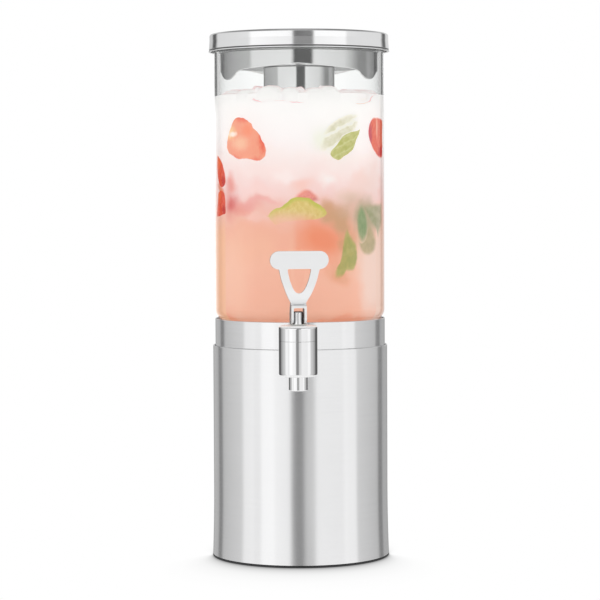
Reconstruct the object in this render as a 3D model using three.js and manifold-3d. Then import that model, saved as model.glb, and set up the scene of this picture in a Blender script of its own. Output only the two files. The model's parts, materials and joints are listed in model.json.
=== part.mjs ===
// Glass beverage dispenser, about four litres. A straight glass jar stands in a brushed steel collar,
// the collar nests in the open top of a tall steel pedestal, and a press-in steel lid carries an ice
// tube that hangs in the drink. The jar drains through its floor, by a silicone elbow under the
// collar's deck, to a self-closing tap whose upright paddle lever lifts the valve stem by two cams.
//
// Millimetres, +Z up. The origin is the middle of the foot's underside. The front, with the tap, faces -Y.
import * as THREE from "three";
import { mergeVertices } from "three/addons/utils/BufferGeometryUtils.js";
import Module from "manifold-3d";

const wasm = await Module();
wasm.setup();

// ---------------------------------------------------------------- driving dimensions
const BIG = 36; // sides of the large round pieces
const MID = 28;
const SMALL = 18;
const TINY = 12;
const GAP = 0.3; // clearance between pieces that touch

// pedestal
const TUBE_R = 78.5;
const TUBE_WALL = 1.2;
const TUBE_TOP = 190.9;
const TUBE_FOOT_Z = 2.3;
const FLARE = 1.2; // how far the tube's foot flares out
const FLARE_TOP = 60;
const FOOT_R = 79.7;
const FOOT_LIP = 2.0;
const SHELF_TOP = 171.5;
const NOTCH_R = 13.5; // half width of the notch that the tap's shank drops into

// collar and jar
const COLLAR_R = 76.4;
const COLLAR_WALL = 1.0;
const COLLAR_BOTTOM = 171.8;
const COLLAR_TOP = 215.0;
const DECK_TOP = 210.8;
const JAR_R = 76.2;
const JAR_WALL = 3.7;
const JAR_BOTTOM = 213.0;
const JAR_FLOOR = 218.0;
const JAR_TOP = 457.2;
const JAR_CORNER = 10;
const DRAIN_HOLE_R = 9.3;

// lid
const LID_TOP = 469.4;
const SKIRT_R = 80.2;
const BEAD_R = 81.2;
const SKIRT_BOTTOM = 454.0;
const PLUG_R = 70.5;
const PLUG_BOTTOM = 439.8;

// ice tube
const ICE_R = 31.75;
const ICE_WALL = 0.8;
const ICE_TOP = 438.6;
const ICE_BOTTOM = 252.0;
const SOCKET_R = 30.5;

// tap
const TAP_Y = 108; // tap axis ahead of the jar's axis
const SHANK_Z = 186;
const BODY_R = 16.6;
const BODY_BOTTOM = 171.0;
const BODY_TOP = 200.0;
const BONNET_TOP = 214.3;
const SPOUT_R = 8.1;
const SPOUT_BOTTOM = 158.2;
const SEAT_Z = 178.0;
const STEM_R = 4.25;
const STEM_TOP = 225.7;
const PIN_Z = 219.5;
const PIN_R = 1.2;
const BUSH_TOP = 215.2;
const LEVER_YAW = (10 * Math.PI) / 180; // the lever is turned a little on the stem's axis
const CAM_C0 = PIN_Z - BUSH_TOP - GAP; // cam's reach under the pin with the lever upright
const LIFT = 2.5; // stem lift at full tilt
const TILT = (80 * Math.PI) / 180;
const CAM_K = LIFT / TILT;

// ---------------------------------------------------------------- materials
const mat = (color, roughness, metalness, extra = {}) =>
  new THREE.MeshStandardMaterial({ color, roughness, metalness, ...extra });
const brushed = mat(0xc9cacb, 0.34, 1.0);
const polished = mat(0xd9dadb, 0.1, 1.0);
const satin = mat(0xe2e3e3, 0.42, 1.0);
const clearGlass = mat(0xf4f8f8, 0.02, 0.0, { transparent: true, opacity: 0.2 });
const silicone = mat(0xe9e9e4, 0.55, 0.0);
const blackFoot = mat(0x222325, 0.6, 0.0);
const nylon = mat(0xdcdcd6, 0.45, 0.0);

// ---------------------------------------------------------------- solids
function manifoldOf(geometry) {
  const g = geometry.index ? geometry.toNonIndexed() : geometry.clone();
  for (const name of Object.keys(g.attributes)) {
    if (name !== "position") g.deleteAttribute(name);
  }
  const merged = mergeVertices(g, 1e-4);
  const index = merged.index.array;
  const kept = [];
  for (let i = 0; i < index.length; i += 3) {
    const [a, b, c] = [index[i], index[i + 1], index[i + 2]];
    if (a !== b && b !== c && a !== c) kept.push(a, b, c);
  }
  const build = (tris) =>
    new wasm.Manifold(
      new wasm.Mesh({
        numProp: 3,
        vertProperties: new Float32Array(merged.attributes.position.array),
        triVerts: new Uint32Array(tris),
      }),
    );
  let solid = build(kept);
  if (solid.volume() < 0) {
    const turned = [];
    for (let i = 0; i < kept.length; i += 3) turned.push(kept[i], kept[i + 2], kept[i + 1]);
    solid = build(turned);
  }
  return solid;
}

function geometryOf(solid) {
  const m = solid.getMesh();
  const v = new Float32Array(m.numVert * 3);
  for (let i = 0; i < m.numVert; i++)
    v.set(m.vertProperties.subarray(i * m.numProp, i * m.numProp + 3), i * 3);
  const g = new THREE.BufferGeometry();
  g.setAttribute("position", new THREE.BufferAttribute(v, 3));
  g.setIndex(new THREE.BufferAttribute(new Uint32Array(m.triVerts), 1));
  g.computeVertexNormals();
  return g;
}

// A solid of revolution about Z. The profile is [radius, z] pairs: it starts and ends on the axis,
// or it is closed on itself here.
function turned(profile, sides) {
  const p = profile.map(([r, z]) => new THREE.Vector2(r, z));
  if (p[0].x !== 0) p.push(p[0].clone());
  const g = new THREE.LatheGeometry(p, sides);
  g.rotateX(Math.PI / 2);
  return manifoldOf(g);
}

// A round bar along Y, between y0 and y1, at the tap shank's height unless another is given.
function barY(radius, y0, y1, z = SHANK_Z, sides = SMALL) {
  const g = new THREE.CylinderGeometry(radius, radius, Math.abs(y1 - y0), sides);
  g.translate(0, (y0 + y1) / 2, z);
  return manifoldOf(g);
}

const arc = (cx, cz, r, a0, a1, n) =>
  Array.from({ length: n + 1 }, (_, i) => {
    const a = ((a0 + ((a1 - a0) * i) / n) * Math.PI) / 180;
    return [cx + r * Math.cos(a), cz + r * Math.sin(a)];
  });

const root = new THREE.Group();

function group(x = 0, y = 0, yaw = 0) {
  const g = new THREE.Group();
  g.position.set(x, y, 0);
  g.rotation.z = yaw;
  root.add(g);
  return g;
}

function add(parent, name, solid, material) {
  const mesh = new THREE.Mesh(geometryOf(solid), material);
  mesh.name = name;
  parent.add(mesh);
  return mesh;
}

// ---------------------------------------------------------------- pedestal
const pedestal = group();
{
  const flareAt = (z) =>
    z >= FLARE_TOP
      ? 0
      : FLARE * Math.pow((FLARE_TOP - z) / (FLARE_TOP - TUBE_FOOT_Z), 1.8);
  const heights = [TUBE_FOOT_Z, 14, 34, FLARE_TOP];
  const outer = heights.map((z) => [TUBE_R + flareAt(z), z]);
  const inner = heights.map((z) => [TUBE_R - TUBE_WALL + flareAt(z), z]).reverse();
  let tube = turned(
    [
      ...outer,
      [TUBE_R, TUBE_TOP - 0.5],
      [TUBE_R - 0.4, TUBE_TOP],
      [TUBE_R - TUBE_WALL + 0.4, TUBE_TOP],
      [TUBE_R - TUBE_WALL, TUBE_TOP - 0.5],
      ...inner,
    ],
    BIG,
  );
  // The notch in the rim that takes the tap's shank and washer.
  const u = new THREE.Shape();
  u.moveTo(-NOTCH_R, TUBE_TOP + 5);
  u.lineTo(-NOTCH_R, SHANK_Z);
  for (let i = 1; i < 12; i++) {
    const a = Math.PI + (Math.PI * i) / 12;
    u.lineTo(NOTCH_R * Math.cos(a), SHANK_Z + NOTCH_R * Math.sin(a));
  }
  u.lineTo(NOTCH_R, SHANK_Z);
  u.lineTo(NOTCH_R, TUBE_TOP + 5);
  u.closePath();
  const cut = new THREE.ExtrudeGeometry(u, { depth: 30, bevelEnabled: false });
  cut.rotateX(Math.PI / 2); // shape in XZ, extruded towards -Y
  cut.translate(0, -60, 0);
  tube = tube.subtract(manifoldOf(cut));
  add(pedestal, "pedestal_tube", tube, brushed);

  add(
    pedestal,
    "pedestal_shelf",
    turned(
      [
        [62, SHELF_TOP - 1.2],
        [75.8, SHELF_TOP - 1.2],
        [75.8, 161],
        [77.0, 161],
        [77.0, SHELF_TOP],
        [62, SHELF_TOP],
      ],
      BIG,
    ),
    brushed,
  );
  add(
    pedestal,
    "base_plate",
    turned(
      [
        [0, 3.5],
        [75.2, 3.5],
        [75.2, 5.5],
        [0, 5.5],
      ],
      BIG,
    ),
    brushed,
  );
  add(
    pedestal,
    "foot_cap",
    turned(
      [
        [0, 0],
        [FOOT_R - 0.9, 0],
        [FOOT_R, 0.7],
        [FOOT_R, FOOT_LIP],
        [77.9, FOOT_LIP],
        [77.9, 9.0],
        [75.6, 9.0],
        [75.6, 3.2],
        [0, 3.2],
      ],
      BIG,
    ),
    blackFoot,
  );
}

// ---------------------------------------------------------------- reservoir
const reservoir = group();
{
  let collar = turned(
    [
      [COLLAR_R, COLLAR_BOTTOM],
      [COLLAR_R, COLLAR_TOP - 0.9],
      [COLLAR_R - 0.3, COLLAR_TOP - 0.2],
      [COLLAR_R - COLLAR_WALL + 0.2, COLLAR_TOP],
      [COLLAR_R - COLLAR_WALL, COLLAR_TOP - 0.9],
      [COLLAR_R - COLLAR_WALL, COLLAR_BOTTOM],
    ],
    BIG,
  );
  collar = collar.subtract(barY(8.4, -90, -60));
  add(reservoir, "collar_ring", collar, brushed);

  add(
    reservoir,
    "collar_deck",
    turned(
      [
        [10.3, DECK_TOP - 1.2],
        [73.8, DECK_TOP - 1.2],
        [73.8, 203],
        [75.0, 203],
        [75.0, DECK_TOP],
        [10.3, DECK_TOP],
      ],
      BIG,
    ),
    brushed,
  );
  add(
    reservoir,
    "jar_gasket",
    turned(
      [
        [10.5, DECK_TOP + GAP],
        [65.5, DECK_TOP + GAP],
        [65.5, JAR_BOTTOM - GAP],
        [10.5, JAR_BOTTOM - GAP],
      ],
      MID,
    ),
    silicone,
  );
  const inner = JAR_R - JAR_WALL;
  add(
    reservoir,
    "glass_jar",
    turned(
      [
        [DRAIN_HOLE_R, JAR_BOTTOM],
        ...arc(JAR_R - JAR_CORNER, JAR_BOTTOM + JAR_CORNER, JAR_CORNER, -90, 0, 3),
        [JAR_R, JAR_TOP - 1.2],
        [JAR_R - 0.6, JAR_TOP - 0.2],
        [JAR_R - JAR_WALL / 2, JAR_TOP],
        [inner + 0.6, JAR_TOP - 0.2],
        [inner, JAR_TOP - 1.2],
        ...arc(inner - 7, JAR_FLOOR + 7, 7, 0, -90, 2),
        [DRAIN_HOLE_R, JAR_FLOOR],
      ],
      BIG,
    ),
    clearGlass,
  );
  add(
    reservoir,
    "drain_washer",
    turned(
      [
        [8.6, JAR_FLOOR + GAP],
        [16.5, JAR_FLOOR + GAP],
        [16.5, 219.8],
        [8.6, 219.8],
      ],
      SMALL,
    ),
    silicone,
  );
  add(
    reservoir,
    "drain_fitting",
    turned(
      [
        [5.0, 198.6],
        [6.2, 198.6],
        [6.6, 199.2],
        [6.6, 204.0],
        [8.0, 204.0],
        [8.0, 220.1],
        [16.5, 220.1],
        [16.5, 221.2],
        [15.6, 222.1],
        [7.2, 222.1],
        [5.0, 220.6],
      ],
      SMALL,
    ),
    polished,
  );
  const hex = (across, hole, depth) => {
    const s = new THREE.Shape();
    for (let i = 0; i < 6; i++) {
      const a = (Math.PI / 3) * i;
      const r = across / Math.sqrt(3);
      i === 0 ? s.moveTo(r, 0) : s.lineTo(r * Math.cos(a), r * Math.sin(a));
    }
    s.closePath();
    const h = new THREE.Path();
    h.absarc(0, 0, hole, 0, Math.PI * 2, true);
    s.holes.push(h);
    return new THREE.ExtrudeGeometry(s, {
      depth,
      bevelEnabled: false,
      curveSegments: 16,
    });
  };
  const drainNut = hex(24, 8.35, 4.6);
  drainNut.translate(0, 0, 204.6);
  add(reservoir, "drain_nut", manifoldOf(drainNut), polished);

  // Silicone elbow from the drain's tail to the tap's tail.
  class Elbow extends THREE.Curve {
    getPoint(t, out = new THREE.Vector3()) {
      const down = 5.8;
      const bend = 12;
      const bendLength = (Math.PI / 2) * bend;
      const run = 53;
      let s = t * (down + bendLength + run);
      const top = SHANK_Z + bend + down;
      if (s <= down) return out.set(0, 0, top - s);
      s -= down;
      if (s <= bendLength) {
        const a = s / bend;
        return out.set(0, -bend * (1 - Math.cos(a)), SHANK_Z + bend - bend * Math.sin(a));
      }
      s -= bendLength;
      return out.set(0, -bend - s, SHANK_Z);
    }
  }
  const ring = new THREE.Shape();
  const side = 10;
  for (let i = 0; i < side; i++) {
    const a = (2 * Math.PI * i) / side;
    i === 0 ? ring.moveTo(9.4, 0) : ring.lineTo(9.4 * Math.cos(a), 9.4 * Math.sin(a));
  }
  ring.closePath();
  const bore = new THREE.Path();
  for (let i = side - 1; i >= 0; i--) {
    const a = (2 * Math.PI * i) / side;
    i === side - 1
      ? bore.moveTo(7.2 * Math.cos(a), 7.2 * Math.sin(a))
      : bore.lineTo(7.2 * Math.cos(a), 7.2 * Math.sin(a));
  }
  bore.closePath();
  ring.holes.push(bore);
  add(
    reservoir,
    "elbow_hose",
    manifoldOf(
      new THREE.ExtrudeGeometry(ring, { steps: 14, extrudePath: new Elbow(), bevelEnabled: false }),
    ),
    silicone,
  );
  add(
    reservoir,
    "hose_clip_drain",
    turned(
      [
        [9.75, 199.8],
        [10.5, 199.8],
        [10.5, 203.4],
        [9.75, 203.4],
      ],
      SMALL,
    ),
    polished,
  );
  add(
    reservoir,
    "hose_clip_tap",
    barY(10.5, -62.4, -58.6).subtract(barY(9.75, -70, -50)),
    polished,
  );

  // Washers either side of the collar's wall, shaped to its curve, and the nut that clamps the tap.
  const wallOut = turned(
    [
      [0, 160],
      [COLLAR_R + GAP, 160],
      [COLLAR_R + GAP, 215],
      [0, 215],
    ],
    BIG * 2,
  );
  const wallIn = turned(
    [
      [0, 160],
      [COLLAR_R - COLLAR_WALL - 0.55, 160],
      [COLLAR_R - COLLAR_WALL - 0.55, 215],
      [0, 215],
    ],
    BIG * 2,
  );
  const shankHole = barY(8.25, -90, -50);
  add(
    reservoir,
    "tap_washer_outer",
    barY(12, -78.9, -70).subtract(wallOut).subtract(shankHole),
    silicone,
  );
  add(
    reservoir,
    "tap_washer_inner",
    barY(11, -80, -72.3).intersect(wallIn).subtract(shankHole),
    silicone,
  );
  const tapNut = hex(21, 8.25, 4.8);
  tapNut.rotateX(Math.PI / 2); // now along -Y from the origin
  tapNut.translate(0, -67.2, SHANK_Z);
  add(reservoir, "tap_nut", manifoldOf(tapNut), polished);
}

// ---------------------------------------------------------------- tap
const tap = group(0, -TAP_Y);
{
  // y is measured from the tap's axis here: the jar's axis is at +TAP_Y.
  const at = (s) => TAP_Y - s; // s is the distance from the jar's axis
  let body = turned(
    [
      [5.0, SEAT_Z],
      [5.0, 175],
      [7.0, 175],
      [7.0, BODY_BOTTOM],
      [14.1, BODY_BOTTOM],
      [15.9, BODY_BOTTOM + 0.8],
      [BODY_R, BODY_BOTTOM + 2.6],
      [BODY_R, BODY_TOP],
      [12.4, BODY_TOP],
      [12.4, 194.2],
      [10.0, 194.2],
      [10.0, SEAT_Z],
    ],
    MID,
  );
  const shank = barY(7.9, at(96.5), at(66))
    .add(barY(12, at(81.7), at(79.2)))
    .add(barY(9.6, at(96), at(90)))
    .add(barY(6.6, at(66.5), at(56)));
  body = body.add(shank).subtract(barY(4.6, at(101), at(50)));
  add(tap, "tap_body", body, polished);

  add(
    tap,
    "tap_spout",
    turned(
      [
        [4.8, 174.7],
        [4.8, 169.5],
        [5.6, 168.7],
        [5.6, SPOUT_BOTTOM],
        [7.5, SPOUT_BOTTOM],
        [SPOUT_R, SPOUT_BOTTOM + 0.9],
        [SPOUT_R, 170.7],
        [6.7, 170.7],
        [6.7, 174.7],
      ],
      SMALL,
    ),
    polished,
  );
  add(
    tap,
    "tap_bonnet",
    turned(
      [
        [5.9, 209.5],
        [5.9, BONNET_TOP],
        [14.4, BONNET_TOP],
        [15.9, BONNET_TOP - 0.6],
        [BODY_R, BONNET_TOP - 2.1],
        [BODY_R, BODY_TOP + GAP],
        [12.1, BODY_TOP + GAP],
        [12.1, 196.3],
        [10.2, 196.3],
        [10.2, 209.5],
      ],
      MID,
    ),
    polished,
  );
  add(
    tap,
    "bonnet_oring",
    turned(arc(11.2, 195.25, 0.72, 0, 300, 5), SMALL),
    silicone,
  );

  class Helix extends THREE.Curve {
    getPoint(t, out = new THREE.Vector3()) {
      const turns = 5.5;
      const a = 2 * Math.PI * turns * t;
      return out.set(8 * Math.cos(a), 8 * Math.sin(a), 185.4 + (208.5 - 185.4) * t);
    }
  }
  const wire = new THREE.Shape();
  for (let i = 0; i < 5; i++) {
    const a = ((2 * Math.PI) / 5) * i;
    i === 0 ? wire.moveTo(0.6, 0) : wire.lineTo(0.6 * Math.cos(a), 0.6 * Math.sin(a));
  }
  wire.closePath();
  add(
    tap,
    "valve_spring",
    manifoldOf(
      new THREE.ExtrudeGeometry(wire, { steps: 50, extrudePath: new Helix(), bevelEnabled: false }),
    ),
    polished,
  );
}

// The stem, its bush and the lever turn together about the tap's axis.
const handle = group(0, -TAP_Y, LEVER_YAW);
{
  const barX = (radius, x0, x1, z, sides = TINY) => {
    const g = new THREE.CylinderGeometry(radius, radius, x1 - x0, sides);
    g.rotateZ(Math.PI / 2);
    g.translate((x0 + x1) / 2, 0, z);
    return manifoldOf(g);
  };
  add(
    handle,
    "stem_bush",
    turned(
      [
        [4.55, 206],
        [5.55, 206],
        [5.55, BONNET_TOP + GAP],
        [7.2, BONNET_TOP + GAP],
        [7.2, BUSH_TOP],
        [4.55, BUSH_TOP],
      ],
      SMALL,
    ),
    nylon,
  );
  let stem = turned(
    [
      [0, 180.5],
      [2.0, 180.5],
      [2.0, 182.6],
      [9.0, 182.6],
      [9.0, 184.3],
      [STEM_R, 184.8],
      [STEM_R, STEM_TOP - 3.2],
      [3.8, STEM_TOP - 1.5],
      [2.6, STEM_TOP - 0.4],
      [0, STEM_TOP],
    ],
    SMALL,
  );
  stem = stem.subtract(barX(PIN_R + GAP, -8, 8, PIN_Z));
  add(handle, "valve_stem", stem, polished);
  add(
    handle,
    "valve_plug",
    turned(
      [
        [0, SEAT_Z + GAP],
        [7.0, SEAT_Z + GAP],
        [8.0, SEAT_Z + 1.2],
        [8.0, 182.3],
        [2.3, 182.3],
        [2.3, 180.2],
        [0, 180.2],
      ],
      SMALL,
    ),
    silicone,
  );
  add(handle, "lever_pin", barX(PIN_R, -7.0, 7.0, PIN_Z), polished);

  // Lever: a flat paddle over a V-shaped loop, whose neck steps back above the stem and comes down
  // again as the front of a fork. The fork's two cheeks carry the cams.
  const FRONT = -6.6; // front faces of the paddle and the fork, from the tap's axis
  const half = [
    [5.6, 231.2],
    [7.8, 235.1],
    [10.9, 241.0],
    [13.6, 247.8],
    [15.5, 253.2],
    [16.9, 259.2],
    [17.7, 261.9],
  ];
  const plate = new THREE.Shape();
  const END_R = 7.75;
  const END_X = 17.55;
  const MIDZ = 269.55;
  plate.moveTo(6.7, 230.8);
  for (const [x, z] of half) plate.lineTo(x, z);
  for (let i = 0; i <= 10; i++) {
    const a = -Math.PI / 2 + 0.25 + ((Math.PI - 0.25) * i) / 10;
    plate.lineTo(END_X + END_R * Math.cos(a), MIDZ + END_R * Math.sin(a));
  }
  for (let i = 0; i <= 10; i++) {
    const a = Math.PI / 2 + ((Math.PI - 0.25) * i) / 10;
    plate.lineTo(-END_X + END_R * Math.cos(a), MIDZ + END_R * Math.sin(a));
  }
  for (const [x, z] of [...half].reverse()) plate.lineTo(-x, z);
  plate.lineTo(-6.7, 230.8);
  plate.lineTo(-6.7, 221.0);
  plate.lineTo(-4.6, 221.0);
  plate.lineTo(-4.6, 228.6);
  plate.lineTo(4.6, 228.6);
  plate.lineTo(4.6, 221.0);
  plate.lineTo(6.7, 221.0);
  plate.closePath();
  const hole = new THREE.Path();
  const rim = [
    [0, 241.1],
    [1.9, 241.6],
    [3.7, 243.1],
    [5.7, 246.2],
    [7.9, 251.7],
    [9.3, 257.0],
    [10.0, 260.9],
    [9.2, 262.0],
  ];
  hole.moveTo(...rim[0]);
  for (const [x, z] of rim.slice(1).map(([x, z]) => [-x, z])) hole.lineTo(x, z);
  for (const [x, z] of rim.slice(1).reverse()) hole.lineTo(x, z);
  hole.closePath();
  plate.holes.push(hole);
  const outline = new THREE.ExtrudeGeometry(plate, { depth: 12, bevelEnabled: false });
  outline.rotateX(Math.PI / 2);
  outline.translate(0, 2, 0);

  // A shape drawn in y and z, extruded along x from x0.
  const alongX = (shape, x0, depth, z0 = 0) => {
    const g = new THREE.ExtrudeGeometry(shape, { depth, bevelEnabled: false });
    g.applyMatrix4(
      new THREE.Matrix4().makeBasis(
        new THREE.Vector3(0, 1, 0),
        new THREE.Vector3(0, 0, 1),
        new THREE.Vector3(1, 0, 0),
      ),
    );
    g.translate(x0, 0, z0);
    return manifoldOf(g);
  };
  const side = [
    [FRONT, 220.5],
    [FRONT, 229.8],
    [-6.1, 230.8],
    [-5.0, 231.2],
    [-3.5, 231.4],
    [-2.9, 232.3],
    [-3.2, 234.4],
    [-4.1, 237.2],
    [-5.5, 240.8],
    [-6.35, 244.2],
    [FRONT, 247.6],
    [FRONT, 278.0],
    [-4.6, 278.0],
    [-4.6, 247.4],
    [-4.35, 243.9],
    [-3.55, 240.3],
    [-2.15, 236.6],
    [-1.2, 233.9],
    [-0.9, 231.6],
    [-1.5, 230.1],
    [-2.6, 229.4],
    [-4.6, 229.2],
    [-4.6, 220.5],
  ];
  const profile = new THREE.Shape();
  profile.moveTo(...side[0]);
  for (const q of side.slice(1)) profile.lineTo(...q);
  profile.closePath();
  const sheet = manifoldOf(outline).intersect(alongX(profile, -30, 60));

  const cheek = new THREE.Shape(); // in y, z about the pin
  const cam = Array.from({ length: 9 }, (_, i) => {
    const a = (TILT * i) / 8;
    const h = CAM_C0 + CAM_K * a;
    return [
      -h * Math.sin(a) - CAM_K * Math.cos(a),
      -h * Math.cos(a) + CAM_K * Math.sin(a),
    ];
  });
  cheek.moveTo(FRONT, 10.3);
  cheek.lineTo(FRONT, cam[8][1] + 0.8);
  for (const [y, z] of [...cam].reverse()) cheek.lineTo(y, z);
  cheek.lineTo(2.2, -CAM_C0);
  cheek.lineTo(3.6, -CAM_C0 + 0.9);
  cheek.lineTo(4.2, -CAM_C0 + 2.4);
  cheek.lineTo(4.2, 4.6);
  cheek.lineTo(1.4, 12.4);
  cheek.lineTo(0.2, 13.6);
  cheek.lineTo(-2.2, 13.6);
  cheek.lineTo(-4.8, 11.6);
  cheek.lineTo(-6.1, 11.2);
  cheek.closePath();
  const lever = sheet
    .add(alongX(cheek, 4.6, 2.1, PIN_Z))
    .add(alongX(cheek, -6.7, 2.1, PIN_Z))
    .subtract(barX(PIN_R + GAP, -9, 9, PIN_Z));
  add(handle, "tap_lever", lever, satin);
}

// ---------------------------------------------------------------- lid and ice tube
const lid = group();
{
  add(
    lid,
    "lid_shell",
    turned(
      [
        [0, LID_TOP],
        [77.0, LID_TOP],
        [79.1, LID_TOP - 0.8],
        [SKIRT_R, LID_TOP - 2.8],
        [SKIRT_R, SKIRT_BOTTOM + 3.4],
        [BEAD_R, SKIRT_BOTTOM + 2.4],
        [BEAD_R, SKIRT_BOTTOM + 0.9],
        [80.3, SKIRT_BOTTOM],
        [SKIRT_R - 1.2, SKIRT_BOTTOM + 0.5],
        [SKIRT_R - 1.2, LID_TOP - 3.2],
        [76.8, LID_TOP - 1.2],
        [0, LID_TOP - 1.2],
      ],
      BIG,
    ),
    polished,
  );
  // The plug is a pan whose wall goes on below its floor in three rounded lobes: two at the front,
  // one behind the ice tube.
  const EDGE = [
    [0, 439.85],
    [16, 438.2],
    [28, 437.0],
    [38, 436.1],
    [45, 435.2],
    [49.8, 433.6],
    [51.7, 431.8],
    [53.8, 430.0],
    [57.3, 428.2],
    [60.3, 427.5],
    [64.1, 427.4],
    [68.3, 428.4],
    [72.1, 430.2],
    [74.9, 432.0],
    [78.2, 433.9],
    [84, 435.6],
    [90, 436.6],
    [97, 438.4],
    [104, 439.85],
    [134, 439.85],
    [139, 439.2],
    [146, 438.0],
    [154, 436.4],
    [158, 435.8],
    [162, 435.0],
    [165.8, 433.7],
    [168.7, 431.9],
    [170.8, 430.1],
    [174, 428.4],
    [177, 427.6],
    [180, 427.4],
  ];
  const pan = turned(
    [
      [0, PLUG_BOTTOM],
      [PLUG_R - 0.7, PLUG_BOTTOM],
      [PLUG_R, PLUG_BOTTOM + 0.7],
      [PLUG_R, 458.9],
      [78.6, 458.9],
      [78.6, 459.9],
      [PLUG_R - 1, 459.9],
      [PLUG_R - 1, PLUG_BOTTOM + 1],
      [0, PLUG_BOTTOM + 1],
    ],
    BIG,
  );
  // The lower wall: a strip round the plug with that lower edge, as a closed mesh.
  const steps = [...EDGE, ...EDGE.slice(1, -1).reverse().map(([a, z]) => [360 - a, z])];
  const at = [];
  for (const [a, z] of steps) {
    const [c, s] = [Math.sin((a * Math.PI) / 180), -Math.cos((a * Math.PI) / 180)];
    for (const [r, h] of [
      [PLUG_R - 0.05, z],
      [PLUG_R - 0.05, PLUG_BOTTOM + 2.2],
      [PLUG_R - 1, PLUG_BOTTOM + 2.2],
      [PLUG_R - 1, z],
    ])
      at.push(r * c, r * s, h);
  }
  const faces = [];
  const n = steps.length;
  for (let i = 0; i < n; i++)
    for (let j = 0; j < 4; j++) {
      const k = (j + 1) % 4;
      const [a, b, c, d] = [4 * i + j, 4 * i + k, 4 * ((i + 1) % n) + k, 4 * ((i + 1) % n) + j];
      faces.push(a, b, c, a, c, d);
    }
  const strip = new THREE.BufferGeometry();
  strip.setAttribute("position", new THREE.BufferAttribute(new Float32Array(at), 3));
  strip.setIndex(faces);
  add(lid, "lid_plug", pan.add(manifoldOf(strip)), polished);
  add(
    lid,
    "lid_seal",
    turned(
      [
        [70.8, 452.0],
        [72.15, 452.0],
        [72.15, 457.5],
        [76.0, 457.5],
        [76.0, 458.6],
        [70.8, 458.6],
      ],
      BIG,
    ),
    silicone,
  );
  add(
    lid,
    "tube_socket",
    turned(
      [
        [27.5, 430],
        [SOCKET_R, 430],
        [SOCKET_R, PLUG_BOTTOM - GAP],
        [27.5, PLUG_BOTTOM - GAP],
      ],
      BIG,
    ),
    polished,
  );
  add(
    lid,
    "tube_gasket",
    turned(
      [
        [SOCKET_R + GAP, ICE_TOP + GAP],
        [ICE_R, ICE_TOP + GAP],
        [ICE_R, PLUG_BOTTOM - GAP],
        [SOCKET_R + GAP, PLUG_BOTTOM - GAP],
      ],
      BIG,
    ),
    silicone,
  );
  add(
    lid,
    "ice_tube",
    turned(
      [
        [0, ICE_BOTTOM],
        [ICE_R - 6, ICE_BOTTOM],
        [ICE_R - 1.76, ICE_BOTTOM + 1.76],
        [ICE_R, ICE_BOTTOM + 6],
        [ICE_R, ICE_TOP],
        [ICE_R - ICE_WALL, ICE_TOP],
        [ICE_R - ICE_WALL, ICE_BOTTOM + 6.3],
        [ICE_R - 2.4, ICE_BOTTOM + 2.5],
        [ICE_R - 6.2, ICE_BOTTOM + ICE_WALL],
        [0, ICE_BOTTOM + ICE_WALL],
      ],
      BIG,
    ),
    polished,
  );
}

export default root;
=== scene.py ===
"""Looks of the glass beverage dispenser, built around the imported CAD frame. Metres, +Z up, front at -Y.

Lengths in the tables below are in millimetres, as in the CAD source, and become metres in the meshes.
"""

import json
import math

import bmesh
import bpy
from mathutils import Euler, Matrix, Quaternion, Vector, noise

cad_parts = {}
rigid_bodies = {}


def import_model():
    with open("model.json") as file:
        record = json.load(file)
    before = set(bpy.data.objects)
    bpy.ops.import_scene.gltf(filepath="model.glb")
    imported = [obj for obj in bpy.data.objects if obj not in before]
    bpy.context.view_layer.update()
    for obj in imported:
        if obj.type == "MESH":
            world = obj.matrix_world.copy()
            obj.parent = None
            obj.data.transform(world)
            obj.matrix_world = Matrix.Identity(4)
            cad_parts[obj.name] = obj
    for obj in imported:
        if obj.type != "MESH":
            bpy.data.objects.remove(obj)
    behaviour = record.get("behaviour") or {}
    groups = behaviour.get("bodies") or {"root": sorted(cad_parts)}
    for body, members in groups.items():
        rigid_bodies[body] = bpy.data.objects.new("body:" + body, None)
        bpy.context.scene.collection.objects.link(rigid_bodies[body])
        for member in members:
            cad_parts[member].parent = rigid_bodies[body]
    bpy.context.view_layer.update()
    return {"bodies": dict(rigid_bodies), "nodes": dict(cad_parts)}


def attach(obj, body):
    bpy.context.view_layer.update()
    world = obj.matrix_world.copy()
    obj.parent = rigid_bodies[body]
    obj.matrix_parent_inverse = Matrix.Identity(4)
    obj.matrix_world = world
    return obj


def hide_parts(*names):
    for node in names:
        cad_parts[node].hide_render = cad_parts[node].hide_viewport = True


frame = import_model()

MM = 0.001
TAP_Y = -108.0
LEVER_YAW = math.radians(10)
SHANK_Z = 186.0
VIEW = math.radians(0.95)  # the camera stands this much to the right of straight ahead
CORE = 72.56  # the drink wets the glass, so its skin lies just inside the glass's inner face


# ------------------------------------------------------------------ camera
distance, height, pitch = 2.060, 0.3294, 2.74
eye = bpy.data.cameras.new("eye")
eye.lens, eye.sensor_width = 137.04, 36
eye.clip_start, eye.clip_end = 0.05, 60
camera = bpy.data.objects.new("eye", eye)
bpy.context.scene.collection.objects.link(camera)
camera.location = (distance * math.sin(VIEW), -distance * math.cos(VIEW), height)
camera.rotation_mode = "QUATERNION"
camera.rotation_quaternion = (
    Quaternion((0, 0, 1), VIEW)
    @ Quaternion((1, 0, 0), math.radians(90 - pitch))
    @ Quaternion((0, 0, 1), math.radians(-0.25))
)
bpy.context.scene.camera = camera
bpy.context.scene.view_settings.view_transform = "Standard"


# ------------------------------------------------------------------ node helpers
def put(nt, kind, inputs=None, **props):
    n = nt.nodes.new(kind)
    for k, v in props.items():
        setattr(n, k, v)
    for k, v in (inputs or {}).items():
        if isinstance(v, bpy.types.NodeSocket):
            nt.links.new(v, n.inputs[k])
        else:
            n.inputs[k].default_value = v
    return n


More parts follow.
